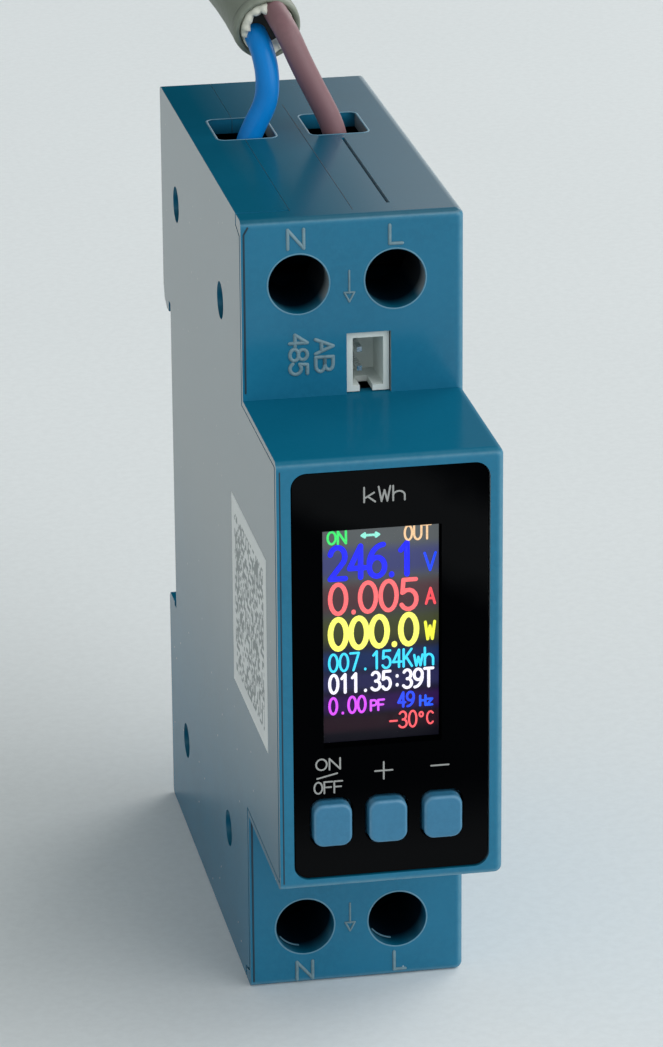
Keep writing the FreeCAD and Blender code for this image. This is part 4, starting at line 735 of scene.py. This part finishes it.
# The supply cable
@dataclass(frozen=True)
class CableFacts:
    """Sizes of the cable in millimetres, as in the CAD model.

    The coil runs inwards on the floor, climbs one step and runs outwards above. Its mean width is the
    middle, two rounds or layers are a step apart, and over the last end_turns it widens to end_wide.
    """

    sheath: float = 7.3
    core: float = 2.5
    middle: float = 75.0
    step: float = 8.0
    rounds: float = 4.0
    end_wide: float = 78.0
    end_turns: float = 0.55
    plug_lift: float = 0.3
    plug_thick: float = 13.7
    blue: tuple[Point, ...] = (
        (-5.5, 14.7, 80.2), (-5.45, 14.7, 81.7), (-4.6, 14.7, 83.8), (-3.2, 14.8, 86.3),
        (-2.95, 15.0, 89.1), (-3.3, 16.2, 91.6), (-3.45, 19.2, 92.3), (-3.55, 22.4, 92.8),
    )
    brown: tuple[Point, ...] = (
        (4.25, 14.7, 80.2), (4.2, 14.7, 81.8), (3.5, 14.7, 84.2), (2.0, 14.6, 87.2),
        (0.3, 14.4, 90.7), (-0.9, 15.0, 93.7), (-1.55, 18.2, 95.0), (-1.8, 22.3, 95.8),
    )
    lead: tuple[Point, ...] = (
        (-2.3, 20, 93.3), (-3.7, 39.5, 97.5), (-13, 60.5, 96.3), (-29.3, 75.7, 87.3),
        (-47.1, 82.2, 69.5), (-61.3, 81.9, 47.7), (-75.9, 78.3, 24.6), (-92.1, 70.7, 9.9),
        (-107.9, 60.0, 3.65), (-118.6, 51.0, 3.65),
    )


class SupplyCable:
    """Two cores and the sheathed lead with its coil, which ends at the plug."""

    STEPS_A_TURN = 24
    RING_SIDES = 64

    def __init__(self, shelf: MaterialShelf, facts: CableFacts = CableFacts()) -> None:
        self.shelf = shelf
        self.facts = facts

    def build(self, ribs: bpy.types.Object) -> None:
        """Makes every piece of the cable and gives each its material and body."""
        facts = self.facts
        for tint, route in (("blue", facts.blue), ("brown", facts.brown)):
            core = self._line(tint + "_core_line", [Vector(p) for p in route], facts.core)
            put(core, CASE, self.shelf[tint + "_insulation"])
            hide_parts(tint + "_core")
        points = [Vector(p) for p in facts.lead] + self._coil_points()
        sheath = self._line("supply_cable", points, facts.sheath)
        put(sheath, CASE, self.shelf["sheath"])
        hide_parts("cable_lead", "cable_coil")
        cut = self._cut_end()

    @staticmethod
    def _line(name: str, points: Sequence[Vector], width: float) -> bpy.types.Object:
        """A round line of the given width along points in millimetres."""
        data = bpy.data.curves.new(name, "CURVE")
        data.dimensions = "3D"
        spline = data.splines.new("NURBS")
        spline.points.add(len(points) - 1)
        for spot, target in zip(points, spline.points):
            target.co = (*(spot * MM), 1.0)
        spline.order_u = 3
        spline.use_endpoint_u = True
        spline.resolution_u = 8
        data.bevel_depth, data.bevel_resolution = width / 2 * MM, 7
        data.use_fill_caps = True
        return add_object(name, data)

    def _coil_points(self) -> list[Vector]:
        """The route of the coil, from the end of the lead to the plug."""
        facts = self.facts
        before, end = (Vector(p) for p in facts.lead[-2:])
        onward = (end - before).normalized()
        start = (math.atan2(onward.y, onward.x) - FULL_TURN / 4) % FULL_TURN
        turns = facts.rounds - start / FULL_TURN
        inner = facts.middle / 2 - facts.step * turns / 4
        outward = Vector((math.cos(start), math.sin(start), 0))
        centre = end + onward * facts.sheath - outward * (inner + facts.step * turns / 2)
        rise = facts.sheath / 2 + facts.plug_lift + facts.plug_thick / 2
        steps = round(turns * self.STEPS_A_TURN)
        points = []
        for turn in (turns * i / steps for i in range(steps + 1)):
            reach = turn - turns / 2
            climb = min(1.0, max(0.0, 0.5 + reach * 2))
            late = max(0.0, (turn - turns + facts.end_turns) / facts.end_turns)
            late = late**2 * (3 - 2 * late)
            radius = inner + facts.step * abs(reach)
            radius += (facts.end_wide / 2 - radius) * late
            level = centre.z + facts.step * climb**2 * (3 - 2 * climb) + rise * late
            angle = start + FULL_TURN * turn
            across, deep = radius * math.cos(angle), radius * math.sin(angle)
            points.append(Vector((centre.x + across, centre.y + deep, level)))
        points.append(points[-1] + Vector((0, facts.sheath + 1.0, 0)))
        return points

    def _cut_end(self) -> list[bpy.types.Object]:
        """The cut of the sheath round the two cores, with its torn filler and a dark disc that paints the
        shade in the hollow.
        """
        rim = ((0.0, 1.0), (0.5, 0.99), (0.9, 0.96), (1.1, 0.91), (1.0, 0.84), (0.5, 0.8), (0.12, 0.78))
        filler = ((0.0, 0.8), (1.0, 0.78), (1.4, 0.7), (1.3, 0.6), (0.8, 0.55), (0.15, 0.52))
        # Painted shade: a dark capped ring inside the cut stands for the shade of the hollow.
        hollow = ((0.0, 0.84), (0.2, 0.84), (0.22, 0.4))
        rings = (("sheath_end", rim, 0.18, 7, "sheath"), ("sheath_filler", filler, 1.0, 11, "sheath_cut"),
                 ("sheath_hollow", hollow, 0.0, 3, "sheath_hollow"))
        return [put(self._turned(name, profile, ragged, seed), CASE, self.shelf[finish])
                for name, profile, ragged, seed, finish in rings]

    def _turned(self, name: str, profile: Sequence[Flat], ragged: float, seed: int) -> bpy.types.Object:
        """A ring turned round the start of the cable's line, ragged at its far end.

        Args:
            name: Name of the new piece.
            profile: Pairs of the reach along the line and the share of the sheath's radius.
            ragged: How far the far end is torn, in millimetres.
            seed: Seed of the tear.

        Returns:
            The piece.
        """
        foot, second = (Vector(p) for p in self.facts.lead[:2])
        way = (foot - second).normalized()
        rng = random.Random(seed)
        across = way.cross(Vector((0, 0, 1))).normalized()
        up = across.cross(way).normalized()
        tear = [ragged * (0.35 * rng.random() + 0.3 * math.sin(i * 0.59) + 0.25 * math.sin(i * 1.57 + seed))
                for i in range(self.RING_SIDES)]
        whole = bmesh.new()
        rings = []
        for reach, size in profile:
            radius = self.facts.sheath / 2 * size
            ring = []
            for i, torn in enumerate(tear):
                angle = FULL_TURN * i / self.RING_SIDES
                push = reach + torn * min(1.0, max(0.0, reach - 0.3))
                spot = foot + way * push + (across * math.cos(angle) + up * math.sin(angle)) * radius
                ring.append(whole.verts.new(spot * MM))
            rings.append(ring)
        join_rings(whole, rings, capped=True)
        return new_piece(name, whole)


# The display
@dataclass(frozen=True)
class DisplayRow:
    """One line of the display: what it says, where, in which colour and how bold."""

    text: str
    left: float
    right: float
    high: float
    low: float
    screen_colour: tuple[int, int, int]
    bold: float
    steady: bool = False
    fill: float = 0.78


ROWS = (
    DisplayRow("ON", -6.0, -3.95, 56.35, 54.85, (60, 225, 110), 0.24),
    DisplayRow("OUT", 1.65, 4.45, 56.45, 54.75, (235, 195, 150), 0.22),
    DisplayRow("246.1", -5.95, 2.85, 54.85, 51.05, (14, 26, 255), 0.54),
    DisplayRow("V", 3.6, 4.95, 53.5, 51.45, (25, 70, 255), 0.26),
    DisplayRow("0.005", -5.9, 3.2, 50.95, 47.45, (255, 108, 112), 0.44),
    DisplayRow("A", 3.75, 4.88, 49.8, 47.95, (255, 80, 90), 0.26),
    DisplayRow("000.0", -5.95, 3.2, 47.35, 43.7, (250, 252, 110), 0.56),
    DisplayRow("W", 3.65, 4.88, 46.3, 44.2, (240, 245, 70), 0.3),
    DisplayRow("007.154Kwh", -5.95, 4.7, 43.55, 41.5, (60, 215, 255), 0.25, True),
    DisplayRow("011.35:39T", -5.95, 4.7, 41.4, 39.2, (242, 240, 255), 0.31, True),
    DisplayRow("0.00", -5.95, -2.1, 38.95, 37.0, (215, 80, 255), 0.26, True),
    DisplayRow("PF", -1.8, -0.25, 38.4, 37.1, (215, 90, 255), 0.23),
    DisplayRow("49", 0.95, 2.75, 39.0, 37.25, (32, 72, 255), 0.26, True),
    DisplayRow("Hz", 3.15, 4.6, 38.5, 37.25, (32, 90, 255), 0.24),
    DisplayRow("-30", 0.1, 3.0, 36.95, 35.05, (255, 96, 104), 0.21, True),
    DisplayRow("oC", 3.1, 4.65, 36.75, 35.25, (255, 96, 104), 0.19, True),
)


class Dresser:
    """A builder of pieces that takes its materials from the shelf."""

    def __init__(self, shelf: MaterialShelf) -> None:
        self.shelf = shelf


class Display(Dresser):
    """The picture of the display and the print round it."""

    GLASS = -33.4
    FACE = -35.31
    FILM, WINDOW_REAR = -33.9, -33.86
    ROW_LIFT, ROW_THICK, ROW_GLOW = 0.06, 0.05, 1.35
    ARROW_GLOW = 1.15
    PRINT_THICK = 0.02

    def build(self) -> None:
        """Makes the rows, the lit ground, the print and the thinned window."""
        for number, row in enumerate(ROWS):
            edge = row.bold / 2
            strokes = StrokeFont.write(row.text, row.left + edge, row.right - edge, row.low + edge,
                                       row.high - edge, row.steady, row.fill)
            self._lit(f"{number:02d}", strokes, row.bold, row.screen_colour, self.ROW_GLOW)
        left, right, level = -2.5, -0.8, 55.65
        arrows = [[(left, level), (right, level)]]
        for tip, barb in ((left, left + 0.3), (right, right - 0.3)):
            arrows += [[(tip, level), (barb, level + 0.2)], [(tip, level), (barb, level - 0.2)]]
        self._lit("arrow", arrows, 0.26, (150, 245, 225), self.ARROW_GLOW)
        self._ground()
        self._print()
        self._window()

    def _lit(self, label: str, strokes: Iterable[Sequence[Flat]], bold: float, tint: tuple[int, int, int],
             strength: float) -> None:
        """One line of lit strokes on the glass."""
        piece = StrokeMaker.mesh("row_" + label, strokes, self.GLASS - self.ROW_LIFT, bold, self.ROW_THICK)
        put(piece, CASE, self.shelf.glow("lit_" + label, from_screen(*tint), strength))

    def _ground(self) -> None:
        """The dim lit ground of the picture, with painted glare that makes it paler towards the top and a
        painted glow of each row's colour.
        """
        whole = bmesh.new()
        x0, x1, z0, z1 = -6.4, 5.3, 34.1, 56.7
        corners = [(x0, z0), (x1, z0), (x1, z1), (x0, z1)]
        rings = [[whole.verts.new(Vector((x, self.GLASS - lift, z)) * MM) for x, z in corners]
                 for lift in (0.002, 0.02)]
        join_rings(whole, rings, capped=True)
        piece = new_piece("picture_ground", whole, smooth=False)
        material, shader, bsdf = new_material("picture_ground")
        set_values(bsdf, Base_Color=(0.012, 0.012, 0.014, 1), Roughness=0.4, Specular_IOR_Level=0.1,
                   Emission_Strength=0.9)
        level = shader.parts(shader.place_in_mm())[2]
        dark, pale = from_screen(12, 12, 22), from_screen(96, 102, 104)
        # Painted glare: the ground grows paler towards the top.
        colour = shader.blend(shader.ramp(level, 40.0, 57.0), dark, pale)
        # Painted glow: a band of each row's colour round its height.
        painted_row_glows = ((52.9, 1.5, (36, 42, 150)), (49.3, 1.5, (96, 20, 34)), (45.9, 1.5, (84, 92, 10)),
                 (42.6, 1.1, (16, 60, 130)), (40.4, 1.0, (58, 58, 120)), (38.1, 1.0, (66, 14, 110)),
                 (36.0, 0.9, (50, 14, 30)))
        for middle, reach, painted_light in painted_row_glows:
            away = shader.math("ABSOLUTE", shader.math("SUBTRACT", level, middle))
            share = shader.ramp(away, reach * 0.4, reach * 1.4, 0.45, 0.0)
            colour = shader.blend(share, colour, from_screen(*painted_light))
        shader.feed(bsdf.inputs["Emission Color"], colour)
        put(piece, CASE, material)

    def _print(self) -> None:
        """The grey print on the black film."""
        keys = StrokeFont.write("ON", -7.55, -5.15, 32.05, 33.2, fill=0.8)
        keys += StrokeFont.write("OFF", -7.75, -4.95, 29.55, 30.75, fill=0.8)
        keys += [[(-7.45, 31.15), (-5.45, 31.6)]]
        keys += [[(-1.65, 31.5), (0.1, 31.5)], [(-0.78, 30.62), (-0.78, 32.4)], [(4.0, 31.6), (5.75, 31.6)]]
        unit = StrokeFont.write("kWh", -2.6, 1.4, 59.75, 61.25, fill=0.8)
        for name, strokes, width in (("print_keys", keys, 0.18), ("print_unit", unit, 0.19)):
            piece = StrokeMaker.mesh(name, strokes, self.FACE, width, self.PRINT_THICK)
            put(piece, CASE, self.shelf["print_grey"])

    def _window(self) -> None:
        """The clear window, with its rear face lifted off the film."""
        mesh = frame["nodes"]["display_window"].data.copy()
        for vertex in mesh.vertices:
            if vertex.co.y > self.FILM * MM:
                vertex.co.y = self.WINDOW_REAR * MM
        piece = add_object("clear_window", mesh)
        put(piece, CASE, self.shelf["window_plastic"])
        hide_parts("display_window")


class Keys(Dresser):
    """The three keys, their faces drawn in like pillows."""

    BODIES = {"on_off_button": "on_off_key", "plus_button": "plus_key", "minus_button": "minus_key"}
    FOOT = -34.9
    STANDS_OUT = 1.4
    NARROWER, SHORTER, LOWER = 0.04, 0.06, 0.08

    def build(self) -> None:
        """Makes each key from the node's own mesh."""
        for name, body in self.BODIES.items():
            low, high = (Vector(corner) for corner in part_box(name))
            middle = (low + high) / 2
            mesh = frame["nodes"][name].data.copy()
            for vertex in mesh.vertices:
                spot = vertex.co
                reach = min(1.0, max(0.0, (self.FOOT * MM - spot.y) / (self.STANDS_OUT * MM)))
                spot.x = middle.x + (spot.x - middle.x) * (1 - self.NARROWER * reach)
                spot.z = middle.z - self.LOWER * MM * reach + (spot.z - middle.z) * (1 - self.SHORTER * reach)
            piece = add_object(name + "_cap", mesh)
            put(piece, body, self.shelf["key_plastic"])
            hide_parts(name)


class Repeater:
    """Copies a small shape onto given spots with one tree of Geometry Nodes."""

    def __init__(self) -> None:
        tree = bpy.data.node_groups.new("copies_on_spots", "GeometryNodeTree")
        face = tree.interface
        face.new_socket("Spots", in_out="INPUT", socket_type="NodeSocketGeometry")
        labels = (("Shape", "Object"), ("Material", "Material"), ("Turn", "Vector"), ("Seed", "Int"))
        self.inputs = {
            label: face.new_socket(label, in_out="INPUT", socket_type="NodeSocket" + kind).identifier
            for label, kind in labels
        }
        face.new_socket("Copies", in_out="OUTPUT", socket_type="NodeSocketGeometry")
        kinds = ("NodeGroupInput", "NodeGroupOutput", "GeometryNodeMeshToPoints", "GeometryNodeObjectInfo",
                 "FunctionNodeRandomValue", "GeometryNodeInstanceOnPoints", "GeometryNodeRealizeInstances",
                 "GeometryNodeSetMaterial")
        source, sink, points, shape, turn, copies, real, coat = (tree.nodes.new(kind) for kind in kinds)
        turn.data_type = "FLOAT_VECTOR"
        turn.inputs[0].default_value = (0.0, 0.0, 0.0)
        for giver, output, taker, socket in (
            (source, "Spots", points, "Mesh"), (source, "Shape", shape, "Object"), (source, "Turn", turn, 1),
            (source, "Seed", turn, "Seed"), (points, "Points", copies, "Points"),
            (shape, "Geometry", copies, "Instance"), (turn, 0, copies, "Rotation"),
            (copies, "Instances", real, "Geometry"), (real, "Geometry", coat, "Geometry"),
            (source, "Material", coat, "Material"), (coat, "Geometry", sink, "Copies"),
        ):
            tree.links.new(giver.outputs[output], taker.inputs[socket])
        self.tree = tree

    def place(self, name: str, shape: bpy.types.Object, spots: Sequence[Point], material: bpy.types.Material,
              turn: Point = (0.0, 0.0, 0.0), seed: int = 5) -> bpy.types.Object:
        """Makes one mesh with a copy of the shape on every spot.

        Args:
            name: Name of the new piece.
            shape: What is copied, modelled about the origin.
            spots: Where the copies go, in millimetres.
            material: Material of the copies.
            turn: Largest random turn about each axis, in radians.
            seed: Seed of the turns.

        Returns:
            The piece, without its modifier.
        """
        mesh = bpy.data.meshes.new(name + "_spots")
        mesh.from_pydata([tuple(value * MM for value in spot) for spot in spots], [], [])
        holder = add_object(name + "_spots", mesh)
        modifier = holder.modifiers.new("copies", "NODES")
        modifier.node_group = self.tree
        for label, value in (("Shape", shape), ("Material", material), ("Turn", turn), ("Seed", seed)):
            modifier[self.inputs[label]] = value
        bpy.context.view_layer.update()
        seen = holder.evaluated_get(bpy.context.evaluated_depsgraph_get())
        piece = add_object(name, bpy.data.meshes.new_from_object(seen))
        holder.modifiers.remove(modifier)
        bpy.data.objects.remove(holder)
        return piece


class Terminal(Enum):
    """The four wire terminals, by the start of their nodes' names."""

    UPPER_NEUTRAL = "upper_neutral"
    UPPER_LIVE = "upper_live"
    LOWER_NEUTRAL = "lower_neutral"
    LOWER_LIVE = "lower_live"


class Fittings(Dresser):
    """Dark crosses painted as the shade of the screw heads' cross recesses, the latch's spring and the grip
    ribs of the plug.
    """

    COVER_SCREWS = ((26.0, 72.5), (-3.1, 70.8), (25.5, 10.65), (-3.3, 12.45))
    RIB_ROWS, RIB_START, RIB_STEP = 7, 9.0, 2.0
    RIB_REACH, RIB_WIDE, RIB_THICK = 6.5, 1.0, 0.5

    def __init__(self, shelf: MaterialShelf) -> None:
        super().__init__(shelf)
        self.repeater = Repeater()

    def build(self) -> None:
        """Makes the dark crosses of painted recess shade, one mesh a moving screw and one for the cover's
        screws, and the spring.
        """
        # Painted shade: each recess is a thin dark cross of black plastic laid on the screw head.
        cross = self._cross("cross_recess", 1.6, 0.7, 0.1)
        dark = self.shelf["black_plastic"]
        for seed, terminal in enumerate(Terminal):
            low, high = (Vector(corner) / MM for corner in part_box(terminal.value + "_screw"))
            middle = (low + high) / 2
            spot = (middle.x, low.y, middle.z)
            piece = self.repeater.place(terminal.value + "_recess", cross, [spot], dark, (0.0, 1.2, 0.0),
                                        seed)
            put(piece, terminal.value + "_clamp_screw", dark)
        small = self._cross("small_recess", 0.75, 0.36, 0.08)
        for vertex in small.data.vertices:
            vertex.co = (vertex.co.y, vertex.co.x, vertex.co.z)
        low, high = (Vector(corner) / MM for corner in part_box("case_screws"))
        spots = [(low.x, y, z) for y, z in self.COVER_SCREWS]
        piece = self.repeater.place("cover_recesses", small, spots, dark, (1.5, 0.0, 0.0), 9)
        put(piece, CASE, dark)
        for shape in (cross, small):
            bpy.data.objects.remove(shape)
        self._spring()

    @staticmethod
    def _cross(name: str, reach: float, width: float, thick: float) -> bpy.types.Object:
        """A cross about the origin, with four arms of the given reach."""
        bars = [[(-reach, 0), (reach, 0)], [(0, -reach), (0, reach)]]
        return StrokeMaker.mesh(name, bars, 0.0, width, thick)

    def _spring(self) -> None:
        """The latch's spring, copied from its node; the real spring shortens towards its fixed lower end as
        the latch is pulled.
        """
        piece = add_object("spring_coil", frame["nodes"]["latch_spring"].data.copy())
        put(piece, CASE, self.shelf["spring_steel"])
        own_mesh(piece)
        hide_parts("latch_spring")

    def plug_ribs(self) -> bpy.types.Object:
        """The rows of grip ribs on both broad faces of the plug."""
        line = [[(-self.RIB_REACH, 0), (self.RIB_REACH, 0)]]
        rib = StrokeMaker.mesh("one_rib", line, 0.0, self.RIB_WIDE, self.RIB_THICK, lying=True)
        low, high = (Vector(corner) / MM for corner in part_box("plug_body"))
        across = (low.x + high.x) / 2
        spots = [(across, low.y + self.RIB_START + self.RIB_STEP * i, level)
                 for i in range(self.RIB_ROWS) for level in (low.z, high.z)]
        piece = self.repeater.place("grip_ribs", rib, spots, self.shelf["plug_plastic"])
        put(piece, CASE, self.shelf["plug_plastic"])
        bpy.data.objects.remove(rib)
        return piece


class Marks(Dresser):
    """The raised signs, the painted highlights on the rims and the dark seams of the case."""

    HOLE_RIM, HOLE_GLINT = 3.13, 2.96
    SLOT_SIDES, SLOT_FRONT, SLOT_REAR = ((-8.6, -2.4), (1.15, 7.35)), 12.94, 21.26
    SEAM_SIDE = -10.95

    def _add(self, name: str, strokes: Iterable[Sequence[Flat]], level: float, width: float, thick: float,
             finish: str, lying: bool = False) -> None:
        """Adds strokes to the case as one piece with a finish of its own."""
        piece = StrokeMaker.mesh(name, strokes, level, width, thick, lying)
        put(piece, CASE, self.shelf[finish])

    def build(self) -> None:
        """Makes the terminal letters, the arrows, the port letters, the rims and the seams."""
        level = SHOULDER_FRONT - 0.02
        letters = (("N", -6.55, -4.95, 79.9, 81.85), ("L", 3.7, 5.1, 79.85, 81.75),
                   ("N", -6.4, -4.75, 0.55, 2.5), ("L", 3.9, 5.2, 0.75, 2.75))
        strokes = [stroke for letter in letters for stroke in StrokeFont.write(*letter, fill=1.0)]
        self._add("raised_marks", strokes, level, 0.34, 0.22, "mark_paint")
        strokes = []
        for x, low, high in ((-0.4, 74.1, 77.3), (-0.75, 5.6, 8.7)):
            tip, left, right = (x, low), (x - 0.5, low + 0.95), (x + 0.5, low + 0.95)
            strokes += [[(x, high), (x, low + 0.9)], [tip, left], [tip, right], [left, right]]
        self._add("raised_arrows", strokes, level, 0.2, 0.2, "mark_paint")
        turned = []
        for text, x, top, low in (("AB", -3.85, 70.35, 67.0), ("485", -6.45, 70.95, 66.8)):
            for stroke in StrokeFont.write(text, 0.0, top - low, 0.0, 1.75, fill=0.8):
                turned.append([(x + high, top - along) for along, high in stroke])
        self._add("port_marks", turned, level, 0.38, 0.22, "mark_paint")
        self._rims()
        self._seams()

    def _rims(self) -> None:
        """Painted highlights on the rounded rims of the wire slots and the screw holes, and arcs of painted
        glints just inside the holes.
        """
        # Painted highlight: pale rims round the wire slots on the roof.
        slots = [self._rounded(left - 0.06, self.SLOT_FRONT, right + 0.06, self.SLOT_REAR, 0.9)
                 for left, right in self.SLOT_SIDES]
        self._add("slot_rims", slots, 0.01 - CASE_TALL, 0.26, 0.1, "rim_light", lying=True)
        # Painted highlight: pale rings round the screw holes.
        radius = self.HOLE_RIM
        rings = [arc(x, z, radius, radius, 0, 360, 72)
                 for x in POLE_SIDES for z in (UPPER_HOLES, LOWER_HOLES)]
        rings = [ring + ring[1:2] for ring in rings]
        self._add("hole_rims", rings, SHOULDER_FRONT + 0.01, 0.16, 0.08, "rim_light")
        # Painted glints: short pale arcs just inside the screw holes.
        radius = self.HOLE_GLINT
        glints = [arc(x, z, radius, radius, start, end, steps) for x in POLE_SIDES
                  for z, start, end, steps in ((LOWER_HOLES, 218, 262, 12), (UPPER_HOLES, 158, 176, 8))]
        self._add("hole_glints", glints, SHOULDER_FRONT + 1.9, 0.16, 0.3, "rim_light")

    def _seams(self) -> None:
        """The dark seams beside the cover and the block, and the faint line on the roof."""
        side = self.SEAM_SIDE
        seams = [[(side, 0.7), (side, 18.9)], [(side, 65.2), (side, 81.6)], [(side, 81.6), (-10.55, 82.3)]]
        self._add("cover_seams", seams, SHOULDER_FRONT, 0.2, 0.06, "seam_dark")
        self._add("frame_seam", [[(-10.9, 20.2), (-10.9, 63.4)]], BLOCK_FRONT, 0.14, 0.05, "seam_dark")
        line = [[(0.35, -14.5), (0.35, 25.5)]]
        self._add("roof_line", line, -CASE_TALL, 0.09, 0.03, "seam_dark", lying=True)

    @staticmethod
    def _rounded(x0: float, y0: float, x1: float, y1: float, radius: float) -> list[Flat]:
        """A closed rectangle with rounded corners."""
        corners = ((x1 - radius, y1 - radius, 0), (x0 + radius, y1 - radius, 90),
                   (x0 + radius, y0 + radius, 180), (x1 - radius, y0 + radius, 270))
        loop = [spot for x, y, start in corners for spot in arc(x, y, radius, radius, start, start + 90, 8)]
        return loop + loop[:2]


# Light and surroundings
class Studio:
    """The floor, the lamps and the world."""

    AIM = Vector((0, 0, 0.045))
    FLOOR_REACH = 3.0

    def build(self) -> None:
        """Makes the floor, two soft lamps and a pale world."""
        self._floor()
        self._lamp("key", (1.40, -1.20, 1.25), 2.6, 31.0)
        self._lamp("back", (1.5, 1.2, 1.1), 1.5, 15.0)
        self._world()

    @staticmethod
    def _world() -> None:
        """A room, dim at the back and overhead and paler in front, with a pale pane at the back right."""
        world = bpy.data.worlds.new("studio")
        world.use_nodes = True
        shader = ShaderTree(world.node_tree)
        back = world.node_tree.nodes["Background"]
        across, deep, up = shader.parts(shader.add("TexCoord").outputs["Generated"])
        share = shader.ramp(deep, 0.6, -0.8)
        level = shader.ramp(up, 1.0, 0.2, 0.3, 1.0)
        colour = shader.blend(share, (0.20, 0.21, 0.215), (0.72, 0.75, 0.76))
        colour = shader.blend(level, (0.42, 0.44, 0.445), colour)
        turn = shader.math("DIVIDE", across, shader.math("MAXIMUM", deep, 0.05))
        pane = shader.times(shader.ramp(turn, 0.155, 0.23), shader.ramp(turn, 1.6, 0.9))
        pane = shader.times(pane, shader.ramp(up, 0.72, 0.5))
        pane = shader.times(pane, shader.math("GREATER_THAN", deep, 0.0))
        shader.feed(back.inputs["Color"], shader.blend(pane, colour, (0.75, 0.75, 0.73)))
        set_values(back, Strength=1.0)
        bpy.context.scene.world = world

    @classmethod
    def _floor(cls) -> None:
        """A large sheet of pale paper with a fine grain."""
        whole = bmesh.new()
        bmesh.ops.create_grid(whole, x_segments=2, y_segments=2, size=cls.FLOOR_REACH)
        floor = new_piece("floor", whole, smooth=False)
        material, shader, bsdf = new_material("floor_paper")
        set_values(bsdf, Roughness=0.85)
        noise = shader.add("TexNoise", Vector=shader.place_in_mm(), Scale=0.01, Detail=2.0)
        colour = shader.blend(noise.outputs[0], (0.80, 0.84, 0.85), (0.85, 0.89, 0.90))
        grain = shader.add("TexNoise", Vector=shader.place_in_mm(), Scale=0.9, Detail=4.0, Roughness=0.7)
        colour = shader.blend(shader.ramp(grain.outputs[0], 0.3, 0.7, 0.0, 0.09), colour, (0.42, 0.44, 0.45))
        shader.feed(bsdf.inputs["Base Color"], colour)
        floor.data.materials.append(material)

    @classmethod
    def _lamp(cls, name: str, spot: Point, size: float, power: float) -> None:
        """A square soft lamp of nearly white light that looks at the middle of the meter."""
        data = bpy.data.lights.new(name, "AREA")
        data.size, data.energy, data.color = size, power, (1.0, 1.0, 0.99)
        lamp = add_object(name, data)
        lamp.location = spot
        aim = cls.AIM - Vector(spot)
        lamp.rotation_euler = aim.to_track_quat("-Z", "Y").to_euler()


class Meter:
    """The whole dressed model."""

    def __init__(self) -> None:
        self.shelf = MaterialShelf()

    def dress_nodes(self) -> None:
        """Gives every carried-over node the material of its slot."""
        slots = {entry["node"]: entry["material_slot"] for entry in frame["record"]["subparts"]}
        for name, node in frame["nodes"].items():
            material = self.shelf[slots[name]]
            if node.material_slots:
                for slot in node.material_slots:
                    slot.material = material
            else:
                node.data.materials.append(material)
        for slot in frame["nodes"]["data_pins"].material_slots:
            slot.material = self.shelf["pin_silver"]

    def build(self) -> None:
        """Makes every piece, the cable first."""
        fittings = Fittings(self.shelf)
        SupplyCable(self.shelf).build(fittings.plug_ribs())
        self.dress_nodes()
        fittings.build()
        Keys(self.shelf).build()
        Display(self.shelf).build()
        Marks(self.shelf).build()


def main() -> None:
    """Builds the scene."""
    logging.basicConfig(level=logging.INFO)
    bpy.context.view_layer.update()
    scene = bpy.context.scene
    scene.view_settings.view_transform = "Standard"
    CameraSpot().place()
    Meter().build()
    Studio().build()


if __name__ == "__main__":
    main()
